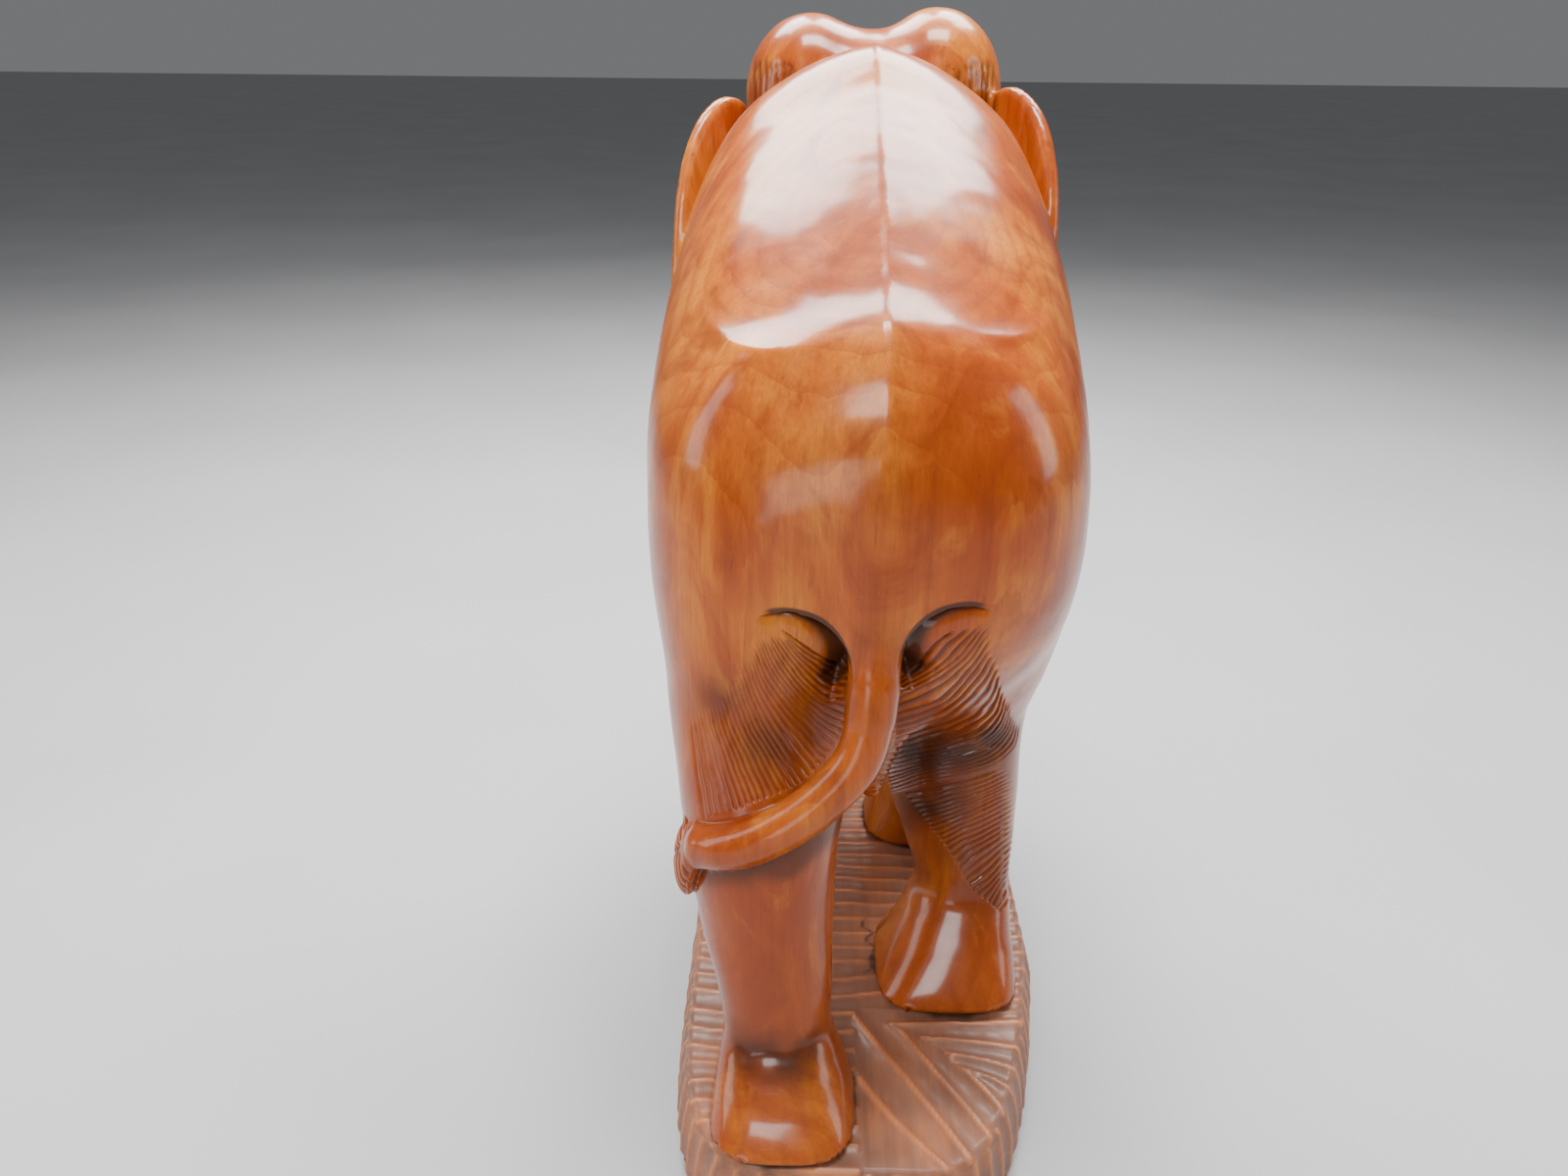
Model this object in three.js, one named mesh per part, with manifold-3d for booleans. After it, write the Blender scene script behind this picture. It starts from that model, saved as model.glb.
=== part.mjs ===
// A carved wooden elephant standing on a gouged plinth, facing -Y.
// Units are millimetres, +Z is up, +X is the elephant's left, and the origin is on the plinth's underside,
// halfway along it and under the middle of the body.
// The figure is one carving; the plinth, four leg dowels, two push-fit tusks and two eye beads are separate pieces.
import * as THREE from "three";
import { mergeVertices } from "three/addons/utils/BufferGeometryUtils.js";
import Module from "manifold-3d";

const wasm = await Module();
wasm.setup();

// Driving dimensions
const PLINTH_HEIGHT = 46;
const PLINTH_LEFT = 96;
const PLINTH_RIGHT = -104;
const PLINTH_END = 222; // from the origin to the front and to the rear
const PLINTH_TAPER = [0.07, 0.04]; // how much narrower and shorter the plinth is at its top
const SEAM = 0.3; // gap between pieces that touch
const DOWEL_RADIUS = 6;
const DOWEL_DEPTH = 46; // how far a dowel reaches into a leg
const DOWEL_RECESS = 3; // how far a dowel's end sits above the plinth's underside
const TENON_RADIUS = 6;
const TENON_LENGTH = 24;
const EYE_RADIUS = 6;

const FEET_Z = PLINTH_HEIGHT + SEAM;

// Stations are [x, y, z, half-width across, half-width along]; a loft passes smoothly through them.
// A sixth number is how square that section is: 2 is an ellipse, and more fills out its corners.
const TORSO = [
  [3, 166, 328, 18, 22],
  [3, 161, 327, 46, 46],
  [4, 150, 325, 70, 70],
  [4, 134, 322, 87, 88],
  [4, 112, 320, 98, 104],
  [4, 72, 328, 104, 122],
  [3, 32, 342, 105, 130],
  [2, -8, 355, 104, 137],
  [2, -48, 368, 99, 143],
  [1, -88, 371, 87, 129],
  [0, -118, 379, 74, 111],
  [0, -140, 390, 58, 88],
  [0, -152, 394, 38, 56],
];
const LEGS = {
  rear_left: {
    stations: [
      [42, 96, 400, 32, 42],
      [48, 100, 330, 51, 58],
      [50, 101, 280, 50, 56],
      [50, 106, 240, 46, 52],
      [50, 122, 200, 40.5, 47],
      [50, 133, 170, 36, 40],
      [47.5, 140, 130, 32, 33],
      [43.5, 148, 100, 28, 28.5],
      [42, 155, 77, 26.5, 27.5],
      [39.5, 168, 59, 31.5, 36, 2.8],
      [38.5, 178, 40, 35.8, 40, 3.4],
    ],
    dowel: [42, 159],
  },
  rear_right: {
    stations: [
      [-38, 78, 400, 32, 42],
      [-45, 76, 330, 51, 56],
      [-47, 70, 280, 50, 55],
      [-47, 58, 240, 44.5, 50],
      [-47.5, 46, 195, 38.5, 42],
      [-50.5, 46, 150, 36, 36],
      [-56, 47, 120, 31, 31.5],
      [-60, 54, 92, 26, 27],
      [-55, 66, 68, 32, 34.5, 2.8],
      [-49, 76, 40, 39.4, 41, 3.8],
    ],
    dowel: [-57, 61],
  },
  front_left: {
    stations: [
      [42, -76, 420, 30, 40],
      [48, -88, 320, 42, 50],
      [48, -108, 240, 37, 41],
      [46, -124, 180, 32, 34],
      [44.5, -134, 125, 28.5, 29],
      [44, -139, 92, 27, 27],
      [44, -145, 66, 31, 32, 2.6],
      [44, -150, 40, 36.5, 38, 3],
    ],
    dowel: [44, -142],
  },
  front_right: {
    stations: [
      [-42, -66, 420, 30, 40],
      [-48, -76, 320, 42, 49],
      [-49, -75, 240, 37, 40],
      [-48, -69, 180, 32, 33],
      [-47, -64, 125, 28.5, 29],
      [-46, -62, 92, 27, 27],
      [-46, -66, 66, 31, 32, 2.6],
      [-46, -71, 40, 36.5, 38, 3],
    ],
    dowel: [-46, -63],
  },
};
const CRANIUM = { centre: [-2, -134, 464], radii: [68, 49, 61] };
const DOMES = [
  { centre: [33, -138, 490], radii: [37, 42, 43] },
  { centre: [-38, -138, 492], radii: [37.5, 42, 44.5] },
];
const FACE = { centre: [0, -146, 405], radii: [60, 48, 68] };
const TRUNK = [
  [0, -146, 448, 46, 40],
  [0, -166, 412, 41, 38],
  [0, -182, 375, 35.5, 34],
  [0, -194, 335, 32, 31],
  [0, -201, 295, 29.5, 29],
  [-1, -204, 255, 27, 27],
  [-4, -201, 215, 24.5, 24.5],
  [-9, -193, 175, 22, 22],
  [-15, -184, 138, 19.5, 19.5],
  [-20, -180, 106, 17.5, 17.5],
  [-24, -188, 81, 15.5, 15.5],
  [-25, -204, 71, 14, 14],
  [-24, -219, 79, 12.5, 12.5],
  [-22, -224, 95, 11, 10.5],
];
const JAW = [
  [0, -118, 395, 36, 34],
  [0, -138, 362, 29, 28],
  [0, -154, 334, 19, 17],
  [0, -162, 318, 8, 7],
];
const TUSK_SHEATH = [
  [34, -150, 394, 20, 20],
  [42, -168, 375, 17.5, 17.5],
  [48, -184, 361, 14, 14],
];
const TUSK_AXIS = new THREE.Vector3(0.2, -0.74, -0.64).normalize(); // the way a tusk pulls out
const TUSK_SEAT = new THREE.Vector3(48, -184, 361); // where a tusk's shoulder meets its sheath
const TUSK_REACH = [
  // [sideways, along Y, up, radius] from the seat, along the curve
  [0, 0, 0, 9.6],
  [3.1, -11.5, -9.9, 9.4],
  [6.5, -28, -21, 8.8],
  [9, -47, -26.5, 7.6],
  [9.5, -66, -24, 5.8],
  [8, -80, -16, 3.4],
  [7, -85, -12, 1.4],
];
const EYES = [[50.2, -161.8, 431.4], [-50.2, -161.8, 431.4]];
const TAIL = [
  [0, 138, 350, 26, 20],
  [1, 153, 318, 15, 14],
  [1.5, 160, 290, 11.5, 12],
  [2, 165.5, 270, 11.3, 11.3],
  [4, 169, 252, 11.2, 11.2],
  [8, 171.5, 238, 11.2, 11.2],
  [16, 173.5, 226.5, 11.2, 11.2],
  [28, 175.5, 214.5, 11.2, 11.2],
  [41, 176, 204.5, 11.2, 11.2],
  [54.5, 174, 195.5, 11.2, 11.2],
  [66, 169.5, 189.5, 11.2, 11.2],
  [76, 162, 185, 10.8, 10.8],
];
const TUFT = [
  [76, 162, 185, 9, 11],
  [81, 157, 180, 7.5, 14],
  [84, 150, 172, 6.5, 17],
  [85.5, 141, 162, 6, 17],
  [85.5, 131, 151, 5.5, 13],
  [84.5, 123, 142, 3, 5],
];
const GROIN = [
  [0, 108, 270, 34, 34],
  [0, 112, 232, 22, 22],
  [-1, 114, 202, 11, 12],
  [-2, 114, 184, 4, 5],
];
const EARS = [
  { side: 1, root: [61, -119, 462], flare: 28, lean: 2 },
  { side: -1, root: [60, -119, 469], flare: 24, lean: 3 },
];
const EAR_THICKNESS = 11;
const EAR_BEVEL = 3;

const toSolid = (geometry) => {
  const bare = geometry.clone();
  bare.deleteAttribute("normal");
  bare.deleteAttribute("uv");
  const merged = mergeVertices(bare, 1e-3);
  return new wasm.Manifold(
    new wasm.Mesh({
      numProp: 3,
      vertProperties: merged.attributes.position.array,
      triVerts: new Uint32Array(merged.index.array),
    }),
  );
};

const toGeometry = (solid) => {
  const mesh = solid.getMesh();
  const positions = new Float32Array(mesh.numVert * 3);
  for (let i = 0; i < mesh.numVert; i++) {
    const start = i * mesh.numProp;
    positions.set(mesh.vertProperties.subarray(start, start + 3), i * 3);
  }
  const geometry = new THREE.BufferGeometry();
  geometry.setAttribute("position", new THREE.BufferAttribute(positions, 3));
  geometry.setIndex(new THREE.BufferAttribute(mesh.triVerts, 1));
  geometry.computeVertexNormals();
  return geometry;
};

// A closed tube through the stations, made by moving a cylinder's rings onto the smooth path.
// "across" is the direction that a section's first half-width is measured in.
// Sections lie square to the path, unless "along" fixes the direction of the second half-width.
// The square option is for the stations that give no squareness of their own.
const loft = (stations, { across = [1, 0, 0], along = null, square = 2, rings = 18, segments = 18 } = {}) => {
  const path = new THREE.CatmullRomCurve3(stations.map(([x, y, z]) => new THREE.Vector3(x, y, z)));
  const sizes = new THREE.CatmullRomCurve3(
    stations.map(([, , , width, depth, squareness = square]) => new THREE.Vector3(width, depth, squareness)),
  );
  const first = new THREE.Vector3(...across).normalize();
  const bare = new THREE.CylinderGeometry(1, 1, 1, segments, rings);
  bare.deleteAttribute("normal");
  bare.deleteAttribute("uv");
  const geometry = mergeVertices(bare);
  const position = geometry.attributes.position;
  const round = (c, squareness) => Math.sign(c) * Math.abs(c) ** (2 / squareness);
  for (let i = 0; i < position.count; i++) {
    const t = THREE.MathUtils.clamp(0.5 - position.getY(i), 0, 1);
    const centre = path.getPoint(t);
    const size = sizes.getPoint(t);
    const second = along
      ? new THREE.Vector3(...along)
      : new THREE.Vector3().crossVectors(path.getTangent(t), first).normalize();
    const side = along
      ? first
      : new THREE.Vector3().crossVectors(second, path.getTangent(t)).normalize();
    centre.addScaledVector(side, round(position.getX(i), size.z) * size.x);
    centre.addScaledVector(second, round(position.getZ(i), size.z) * size.y);
    position.setXYZ(i, centre.x, centre.y, centre.z);
  }
  const solid = toSolid(geometry);
  return solid.volume() < 0 ? toSolid(flip(geometry)) : solid;
};

const flip = (geometry) => {
  const index = geometry.index.array;
  for (let i = 0; i < index.length; i += 3) {
    [index[i + 1], index[i + 2]] = [index[i + 2], index[i + 1]];
  }
  return geometry;
};

const ellipsoid = ([x, y, z], [a, b, c], across = 18, up = 11) =>
  toSolid(new THREE.SphereGeometry(1, across, up).scale(a, b, c).translate(x, y, z));

const uprightCylinder = (x, y, low, high, radius, segments = 16) =>
  toSolid(
    new THREE.CylinderGeometry(radius, radius, high - low, segments)
      .rotateX(Math.PI / 2)
      .translate(x, y, (low + high) / 2),
  );

const mirrorX = (stations) => stations.map(([x, ...rest]) => [-x, ...rest]);
const union = (solids) => solids.reduce((all, one) => all.add(one));

// The ear is a plate cut to its outline in the side view, then swung out from the head.
const ear = ({ side, root, flare, lean }) => {
  const outline = new THREE.Shape();
  outline.moveTo(-6, 0);
  outline.bezierCurveTo(-2, 20, 12, 29, 27, 28);
  outline.bezierCurveTo(46, 25, 66, 6, 77, -18);
  outline.bezierCurveTo(86, -38, 91, -56, 89, -74);
  outline.bezierCurveTo(86, -98, 72, -118, 56, -133);
  outline.bezierCurveTo(48, -142, 40, -150, 33, -148);
  outline.bezierCurveTo(22, -140, 20, -120, 12, -98);
  outline.bezierCurveTo(4, -74, -10, -40, -6, 0);
  const plate = new THREE.ExtrudeGeometry(outline, {
    depth: EAR_THICKNESS - 2 * EAR_BEVEL,
    bevelThickness: EAR_BEVEL,
    bevelSize: EAR_BEVEL,
    bevelOffset: -EAR_BEVEL,
    bevelSegments: 1,
    curveSegments: 5,
  });
  // Outline x runs back along +Y, outline y runs up, and the thickness runs sideways.
  plate.applyMatrix4(new THREE.Matrix4().set(0, 0, 1, 0, 1, 0, 0, 0, 0, 1, 0, 0, 0, 0, 0, 1));
  plate.rotateZ(THREE.MathUtils.degToRad(-flare));
  plate.rotateY(THREE.MathUtils.degToRad(lean));
  plate.translate(...root);
  const solid = toSolid(plate);
  return side > 0 ? solid : solid.mirror([1, 0, 0]);
};

const tuskStations = (side) =>
  TUSK_REACH.map(([sideways, along, up, radius]) => [
    side * (TUSK_SEAT.x + sideways),
    TUSK_SEAT.y + along,
    TUSK_SEAT.z + up,
    radius,
    radius,
  ]);

// A straight rod along the way a tusk pulls out, from "from" to "to" measured at the seat.
const tuskRod = (side, from, to, radius) => {
  const axis = new THREE.Vector3(side * TUSK_AXIS.x, TUSK_AXIS.y, TUSK_AXIS.z);
  const seat = new THREE.Vector3(side * TUSK_SEAT.x, TUSK_SEAT.y, TUSK_SEAT.z);
  const turn = new THREE.Quaternion().setFromUnitVectors(new THREE.Vector3(0, 1, 0), axis);
  const middle = seat.addScaledVector(axis, (from + to) / 2);
  return toSolid(
    new THREE.CylinderGeometry(radius, radius, to - from, 16)
      .applyQuaternion(turn)
      .translate(middle.x, middle.y, middle.z),
  );
};

const eyeBead = (centre, radius) => ellipsoid(centre, [radius, radius, radius], 12, 7);

const carvedFigure = () => {
  const legs = Object.values(LEGS).map(({ stations }) =>
    loft(stations, { along: [0, -1, 0], square: 2.15, rings: 13, segments: 16 }),
  );
  const figure = union([
    loft(TORSO, { along: [0, 0, 1], square: 2.35, rings: 16, segments: 26 }),
    ...legs,
    ...[CRANIUM, ...DOMES, FACE].map(({ centre, radii }) => ellipsoid(centre, radii)),
    ...EARS.map(ear),
    loft(TRUNK, { rings: 20, segments: 16 }),
    loft(JAW, { rings: 6, segments: 14 }),
    loft(TUSK_SHEATH, { rings: 5, segments: 16 }),
    loft(mirrorX(TUSK_SHEATH), { rings: 5, segments: 16 }),
    loft(TAIL, { across: [0, 1, 0], rings: 18, segments: 10 }),
    loft(TUFT, { rings: 8, segments: 12 }),
    loft(GROIN, { rings: 6, segments: 12 }),
  ]);
  const tuskSockets = [1, -1].flatMap((side) => [
    tuskRod(side, -TENON_LENGTH - 2, 4, TENON_RADIUS + SEAM),
    tuskRod(side, -SEAM, 40, 12),
  ]);
  const eyeSockets = EYES.map((centre) => eyeBead(centre, EYE_RADIUS + SEAM));
  const dowelHoles = Object.values(LEGS).map(({ dowel: [x, y] }) =>
    uprightCylinder(x, y, 0, FEET_Z + DOWEL_DEPTH + 2, DOWEL_RADIUS + SEAM),
  );
  const ground = toSolid(new THREE.BoxGeometry(600, 600, FEET_Z).translate(0, 0, FEET_Z / 2));
  return figure.subtract(union([...tuskSockets, ...eyeSockets, ...dowelHoles, ground]));
};

const plinth = () => {
  const end = PLINTH_END;
  const outline = new THREE.Shape();
  outline.moveTo(PLINTH_LEFT, -148);
  outline.lineTo(PLINTH_LEFT, 100);
  outline.bezierCurveTo(PLINTH_LEFT, 160, 92, end, 42, end);
  outline.lineTo(-30, end);
  outline.bezierCurveTo(-78, end, -92, 130, PLINTH_RIGHT, 60);
  outline.lineTo(PLINTH_RIGHT, -120);
  outline.bezierCurveTo(PLINTH_RIGHT, -185, -72, -end, -24, -end);
  outline.lineTo(22, -end);
  outline.bezierCurveTo(66, -end, PLINTH_LEFT, -196, PLINTH_LEFT, -148);
  const block = new THREE.ExtrudeGeometry(outline, {
    depth: PLINTH_HEIGHT,
    bevelEnabled: false,
    curveSegments: 9,
    steps: 2,
  });
  const position = block.attributes.position;
  for (let i = 0; i < position.count; i++) {
    const rise = (position.getZ(i) / PLINTH_HEIGHT) ** 2;
    const shrink = PLINTH_TAPER.map((taper) => 1 - taper * rise);
    position.setXY(i, position.getX(i) * shrink[0], position.getY(i) * shrink[1]);
  }
  const holes = Object.values(LEGS).map(({ dowel: [dx, dy] }) =>
    uprightCylinder(dx, dy, -1, PLINTH_HEIGHT + 1, DOWEL_RADIUS + SEAM),
  );
  return toSolid(block).subtract(union(holes));
};

const legDowel = ([x, y]) => uprightCylinder(x, y, DOWEL_RECESS, FEET_Z + DOWEL_DEPTH, DOWEL_RADIUS);

const tusk = (side) =>
  loft(tuskStations(side), { rings: 10, segments: 12 })
    .subtract(tuskRod(side, -30, 0, 30))
    .add(tuskRod(side, -TENON_LENGTH, 4, TENON_RADIUS));

const WOOD = { color: 0xa4501c, roughness: 0.32, metalness: 0 };
const PLINTH_WOOD = { color: 0x7a4a32, roughness: 0.5, metalness: 0 };
const DOWEL_WOOD = { color: 0xc49a68, roughness: 0.6, metalness: 0 };
const TUSK_WOOD = { color: 0xe8dcc0, roughness: 0.35, metalness: 0 };
const EYE_BLACK = { color: 0x120d0a, roughness: 0.1, metalness: 0 };

const elephant = new THREE.Group();
const place = (name, solid, finish) => {
  const mesh = new THREE.Mesh(toGeometry(solid), new THREE.MeshStandardMaterial(finish));
  mesh.name = name;
  elephant.add(mesh);
};

place("carved_figure", carvedFigure(), WOOD);
place("plinth", plinth(), PLINTH_WOOD);
for (const [leg, { dowel }] of Object.entries(LEGS)) {
  place(`dowel_${leg}`, legDowel(dowel), DOWEL_WOOD);
}
["left", "right"].forEach((name, i) => {
  place(`tusk_${name}`, tusk(1 - 2 * i), TUSK_WOOD);
  place(`eye_${name}`, eyeBead(EYES[i], EYE_RADIUS), EYE_BLACK);
});

export default elephant;
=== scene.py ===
"""Looks of the carved elephant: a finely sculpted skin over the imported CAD, wood materials, camera and light.

Shapes are worked out in millimetres as signed distances, meshed, gouged, and handed to Blender in metres.
"""
import math

import bmesh
import bpy
import numpy as np
from mathutils import Matrix, Vector


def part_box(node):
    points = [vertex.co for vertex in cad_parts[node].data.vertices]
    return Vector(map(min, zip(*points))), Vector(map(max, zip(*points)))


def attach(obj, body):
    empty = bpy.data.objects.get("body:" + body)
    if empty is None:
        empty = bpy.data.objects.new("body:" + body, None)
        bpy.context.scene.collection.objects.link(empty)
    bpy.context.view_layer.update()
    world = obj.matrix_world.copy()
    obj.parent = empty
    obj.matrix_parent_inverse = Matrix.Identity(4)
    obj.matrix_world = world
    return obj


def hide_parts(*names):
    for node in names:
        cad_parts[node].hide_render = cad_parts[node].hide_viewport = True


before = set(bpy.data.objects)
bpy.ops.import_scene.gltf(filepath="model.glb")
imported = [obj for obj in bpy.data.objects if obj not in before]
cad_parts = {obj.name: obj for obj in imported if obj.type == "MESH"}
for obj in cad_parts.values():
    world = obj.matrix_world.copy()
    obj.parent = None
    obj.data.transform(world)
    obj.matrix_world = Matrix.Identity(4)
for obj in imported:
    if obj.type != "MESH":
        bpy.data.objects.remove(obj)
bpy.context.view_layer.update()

MM = 0.001
FAR = 60.0  # mm, the distance given to points well away from every form
FIGURE_STEP = 2.4  # mm, mesh size of the figure before its gouged areas are refined
PLINTH_STEP = 1.8
VIEWPOINT = np.array([33.0, 632.0, 523.0])  # mm, where the camera stands
RANDOM = np.random.default_rng(11).uniform(-1, 1, 4096)


# ---------------------------------------------------------------- small maths

def spline(points, count):
    """Points on a smooth curve through the given ones, evenly spread over its spans."""
    p = np.array(points, float)
    p = np.vstack([2 * p[0] - p[1], p, 2 * p[-1] - p[-2]])
    t = np.linspace(0, len(p) - 3, count)
    i = np.minimum(t.astype(int), len(p) - 4)
    f = (t - i)[:, None]
    a, b, c, d = p[i], p[i + 1], p[i + 2], p[i + 3]
    return 0.5 * (2 * b + (c - a) * f + (2 * a - 5 * b + 4 * c - d) * f**2 + (3 * b - a - 3 * c + d) * f**3)


def step_up(value, low, high):
    """0 below low, 1 above high, smooth between."""
    t = np.clip((value - low) / (high - low), 0, 1)
    return t * t * (3 - 2 * t)


def window(value, low, high, soft):
    """1 from low to high, fading to 0 over the soft length outside them."""
    return step_up(value, low - soft, low) * (1 - step_up(value, high, high + soft))


def between(value, low, high):
    return (value > low) & (value < high)


def bell(value, middle, width):
    """1 at the middle, falling off smoothly over about this width."""
    return np.exp(-(((value - middle) / width) ** 2))


def grooves(line):
    """1 in the groove at each whole number, 0 halfway between."""
    return 0.5 + 0.5 * np.cos(2 * np.pi * line)


def unit(vectors):
    return vectors / np.maximum(np.linalg.norm(vectors, axis=-1, keepdims=True), 1e-6)


def noise(points, size, seed=0):
    """Smooth noise from -1 to 1, with features of about this size."""
    q = np.asarray(points) / size + 31.7 * seed
    cell = np.floor(q).astype(np.int64)
    f = q - cell
    f = f * f * (3 - 2 * f)
    total = np.zeros(len(q))
    primes = np.array([73856093, 19349663, 83492791][: q.shape[1]])
    for corner in np.ndindex(*(2,) * q.shape[1]):
        corner = np.array(corner)
        weight = np.prod(np.where(corner == 1, f, 1 - f), axis=1)
        total += weight * RANDOM[np.bitwise_xor.reduce((cell + corner) * primes, axis=1) % len(RANDOM)]
    return total


def melt(a, b, radius):
    """The nearer of two distances, with the corner between them rounded out."""
    h = np.maximum(radius - np.abs(a - b), 0) / radius
    return np.minimum(a, b) - h * h * radius / 4


def cut_away(solid, tool, radius):
    """A solid's distance with a tool's shape taken out of it, the new edge slightly rounded."""
    return -melt(-solid, tool, radius)


# ---------------------------------------------------------------- forms as signed distances

class Form:
    """A solid: its distance function, the box it fills, and the radius it melts into its neighbours with."""

    def __init__(self, distance, low, high, radius):
        self.distance = distance
        self.low = np.array(low, float) - radius - 12
        self.high = np.array(high, float) + radius + 12
        self.radius = radius

    def near(self, points):
        return np.nonzero(np.all(between(points, self.low, self.high), axis=1))[0]

    def onto(self, field, points):
        near = self.near(points)
        field[near] = melt(field[near], self.distance(points[near]), self.radius)


def gap_to(forms, points):
    """Distance to the nearest of some forms."""
    gap = np.full(len(points), FAR)
    for form in forms:
        near = form.near(points)
        gap[near] = np.minimum(gap[near], form.distance(points[near]))
    return gap


def loft(axis, stations, radius, square, caps=()):
    """Flat sections across an axis. Stations are [along, centre, centre, half, half], the centres and halves
    in the order of the two other axes. Square is a table of places along and how square a section is there,
    with 2 for an ellipse. A cap (from, to, power) rounds an end off between two places."""
    table = spline(sorted(stations), 400)
    others = [i for i in range(3) if i != axis]

    def sizes(s):
        return [np.interp(s, table[:, 0], table[:, k]) for k in (1, 2, 3, 4)]

    def reach(points, s, power):
        c0, c1, h0, h1 = sizes(s)
        u = np.abs(points[:, others[0]] - c0) / h0
        v = np.abs(points[:, others[1]] - c1) / h1
        q = np.maximum((u**power + v**power) ** (1 / power), 1e-3)
        return q, u, v, h0, h1

    def distance(points):
        s = np.clip(points[:, axis], table[0, 0], table[-1, 0])
        power = np.interp(s, *zip(*square))
        q, u, v, h0, h1 = reach(points, s, power)
        along = reach(points, s + 1.0, power)[0] - q
        side = (u / q) ** (power - 1) / h0
        up = (v / q) ** (power - 1) / h1
        for start, stop, power in caps:
            r = np.maximum((points[:, axis] - start) / (stop - start), 0)
            whole = (q**power + r**power) ** (1 / power)
            share = (q / whole) ** (power - 1)
            along = along * share + (r / whole) ** (power - 1) / (stop - start)
            side, up, q = side * share, up * share, whole
        d = (q - 1) / np.sqrt(side**2 + up**2 + along**2)
        return np.maximum(d, np.maximum(table[0, 0] - points[:, axis], points[:, axis] - table[-1, 0]))

    low, high = np.zeros(3), np.zeros(3)
    low[axis], high[axis] = table[0, 0], table[-1, 0]
    for k, other in enumerate(others):
        low[other] = (table[:, 1 + k] - table[:, 3 + k]).min()
        high[other] = (table[:, 1 + k] + table[:, 3 + k]).max()
    return Form(distance, low, high, radius)


def ellipsoid(centre, radii, radius):
    centre, radii = np.array(centre, float), np.array(radii, float)

    def distance(points):
        p = (points - centre) / radii
        size = np.maximum(np.linalg.norm(p, axis=1), 1e-3)
        return size * (size - 1) / np.linalg.norm(p / radii, axis=1)

    return Form(distance, centre - radii, centre + radii, radius)


def cord(stations, radius, count=28, stretch=(1, 1, 1)):
    """A round rope through [x, y, z, r] stations. A stretch above 1 makes it thinner along that axis."""
    line = spline(stations, count)
    stretch = np.array(stretch, float)
    scaled = line[:, :3] * stretch

    def distance(points):
        p = points * stretch
        best = np.full(len(p), FAR)
        for a, b, ra, rb in zip(scaled[:-1], scaled[1:], line[:-1, 3], line[1:, 3]):
            run = b - a
            t = np.clip((p - a) @ run / (run @ run), 0, 1)
            best = np.minimum(best, np.linalg.norm(p - a - t[:, None] * run, axis=1) - ra - t * (rb - ra))
        return best / stretch.max()

    grow = line[:, 3:4]
    return Form(distance, (line[:, :3] - grow).min(0), (line[:, :3] + grow).max(0), radius)


def rod_distance(points, start, axis, low, high, rod_radius):
    """Distance to a straight rod about a line from start along a unit axis."""
    p = points - start
    along = p @ axis
    across = np.linalg.norm(p - along[:, None] * axis, axis=1) - rod_radius
    return np.maximum(across, np.maximum(low - along, along - high))


# ---------------------------------------------------------------- meshing

CORNERS = np.array(list(np.ndindex(2, 2, 2)))
KEY = np.array([1 << 40, 1 << 20, 1], np.int64)


def surface_mesh(field, low, high, step, slack, coarse=8):
    """Vertices and quads of the field's zero surface, found on ever smaller cells that the surface crosses.
    Slack(points) is how far off the field may be from a true distance."""
    size = step * coarse
    shape = np.ceil((np.array(high) - low) / size).astype(int) + 1
    cells = np.array(list(np.ndindex(*shape)))
    while True:
        middle = low + (cells + 0.5) * size
        cells = cells[np.abs(field(middle)) < size * (1.5 if size > step else 1.1) + slack(middle)]
        if size <= step:
            break
        cells = (cells[:, None] * 2 + CORNERS).reshape(-1, 3)
        size /= 2
    points, index = np.unique((cells[:, None] + CORNERS).reshape(-1, 3) @ KEY, return_inverse=True)
    lattice = np.stack([points >> 40, (points >> 20) & 0xFFFFF, points & 0xFFFFF], axis=1)
    values = field(low + lattice * size)[index].reshape(-1, 8)
    crossed = (values.min(1) < 0) & (values.max(1) >= 0)
    cells, values = cells[crossed], values[crossed]
    total, weight = np.zeros((len(cells), 3)), np.zeros(len(cells))
    for i in range(8):
        for j in range(i + 1, 8):
            if np.abs(CORNERS[i] - CORNERS[j]).sum() != 1:
                continue
            a, b = values[:, i], values[:, j]
            cut = (a < 0) != (b < 0)
            t = np.where(cut, a / np.where(cut, a - b, 1), 0)[:, None]
            total += np.where(cut[:, None], CORNERS[i] + t * (CORNERS[j] - CORNERS[i]), 0)
            weight += cut
    vertices = low + (cells + total / weight[:, None]) * size
    keys = cells @ KEY
    order = np.argsort(keys)
    quads = []
    for axis in range(3):
        far = int(CORNERS.dot([4, 2, 1]).tolist().index([4, 2, 1][axis]))
        cut = (values[:, 0] < 0) != (values[:, far] < 0)
        u, v = (axis + 1) % 3, (axis + 2) % 3
        around = keys[cut][:, None] - np.array([0, KEY[u], KEY[u] + KEY[v], KEY[v]])
        found = np.minimum(np.searchsorted(keys[order], around), len(keys) - 1)
        whole = np.all(keys[order][found] == around, axis=1)
        quad = order[found]
        inward = values[cut, 0] < 0
        quads.append(np.where(inward[:, None], quad, quad[:, ::-1])[whole])
    return vertices, np.vstack(quads)


def sloped(field, points, reach=0.4):
    """The field's values and its slopes."""
    values = field(points)
    return values, np.stack([field(points + s) - values for s in np.eye(3) * reach], axis=1) / reach


def settle(field, points, rounds=2, most=1.5):
    """Moves points onto the field's zero surface."""
    for _ in range(rounds):
        values, slope = sloped(field, points)
        steep = np.maximum((slope**2).sum(1), 0.04)
        move = -(values / steep)[:, None] * slope
        length = np.linalg.norm(move, axis=1)[:, None]
        points = points + move * np.minimum(1, most / np.maximum(length, 1e-9))
    return points


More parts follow.
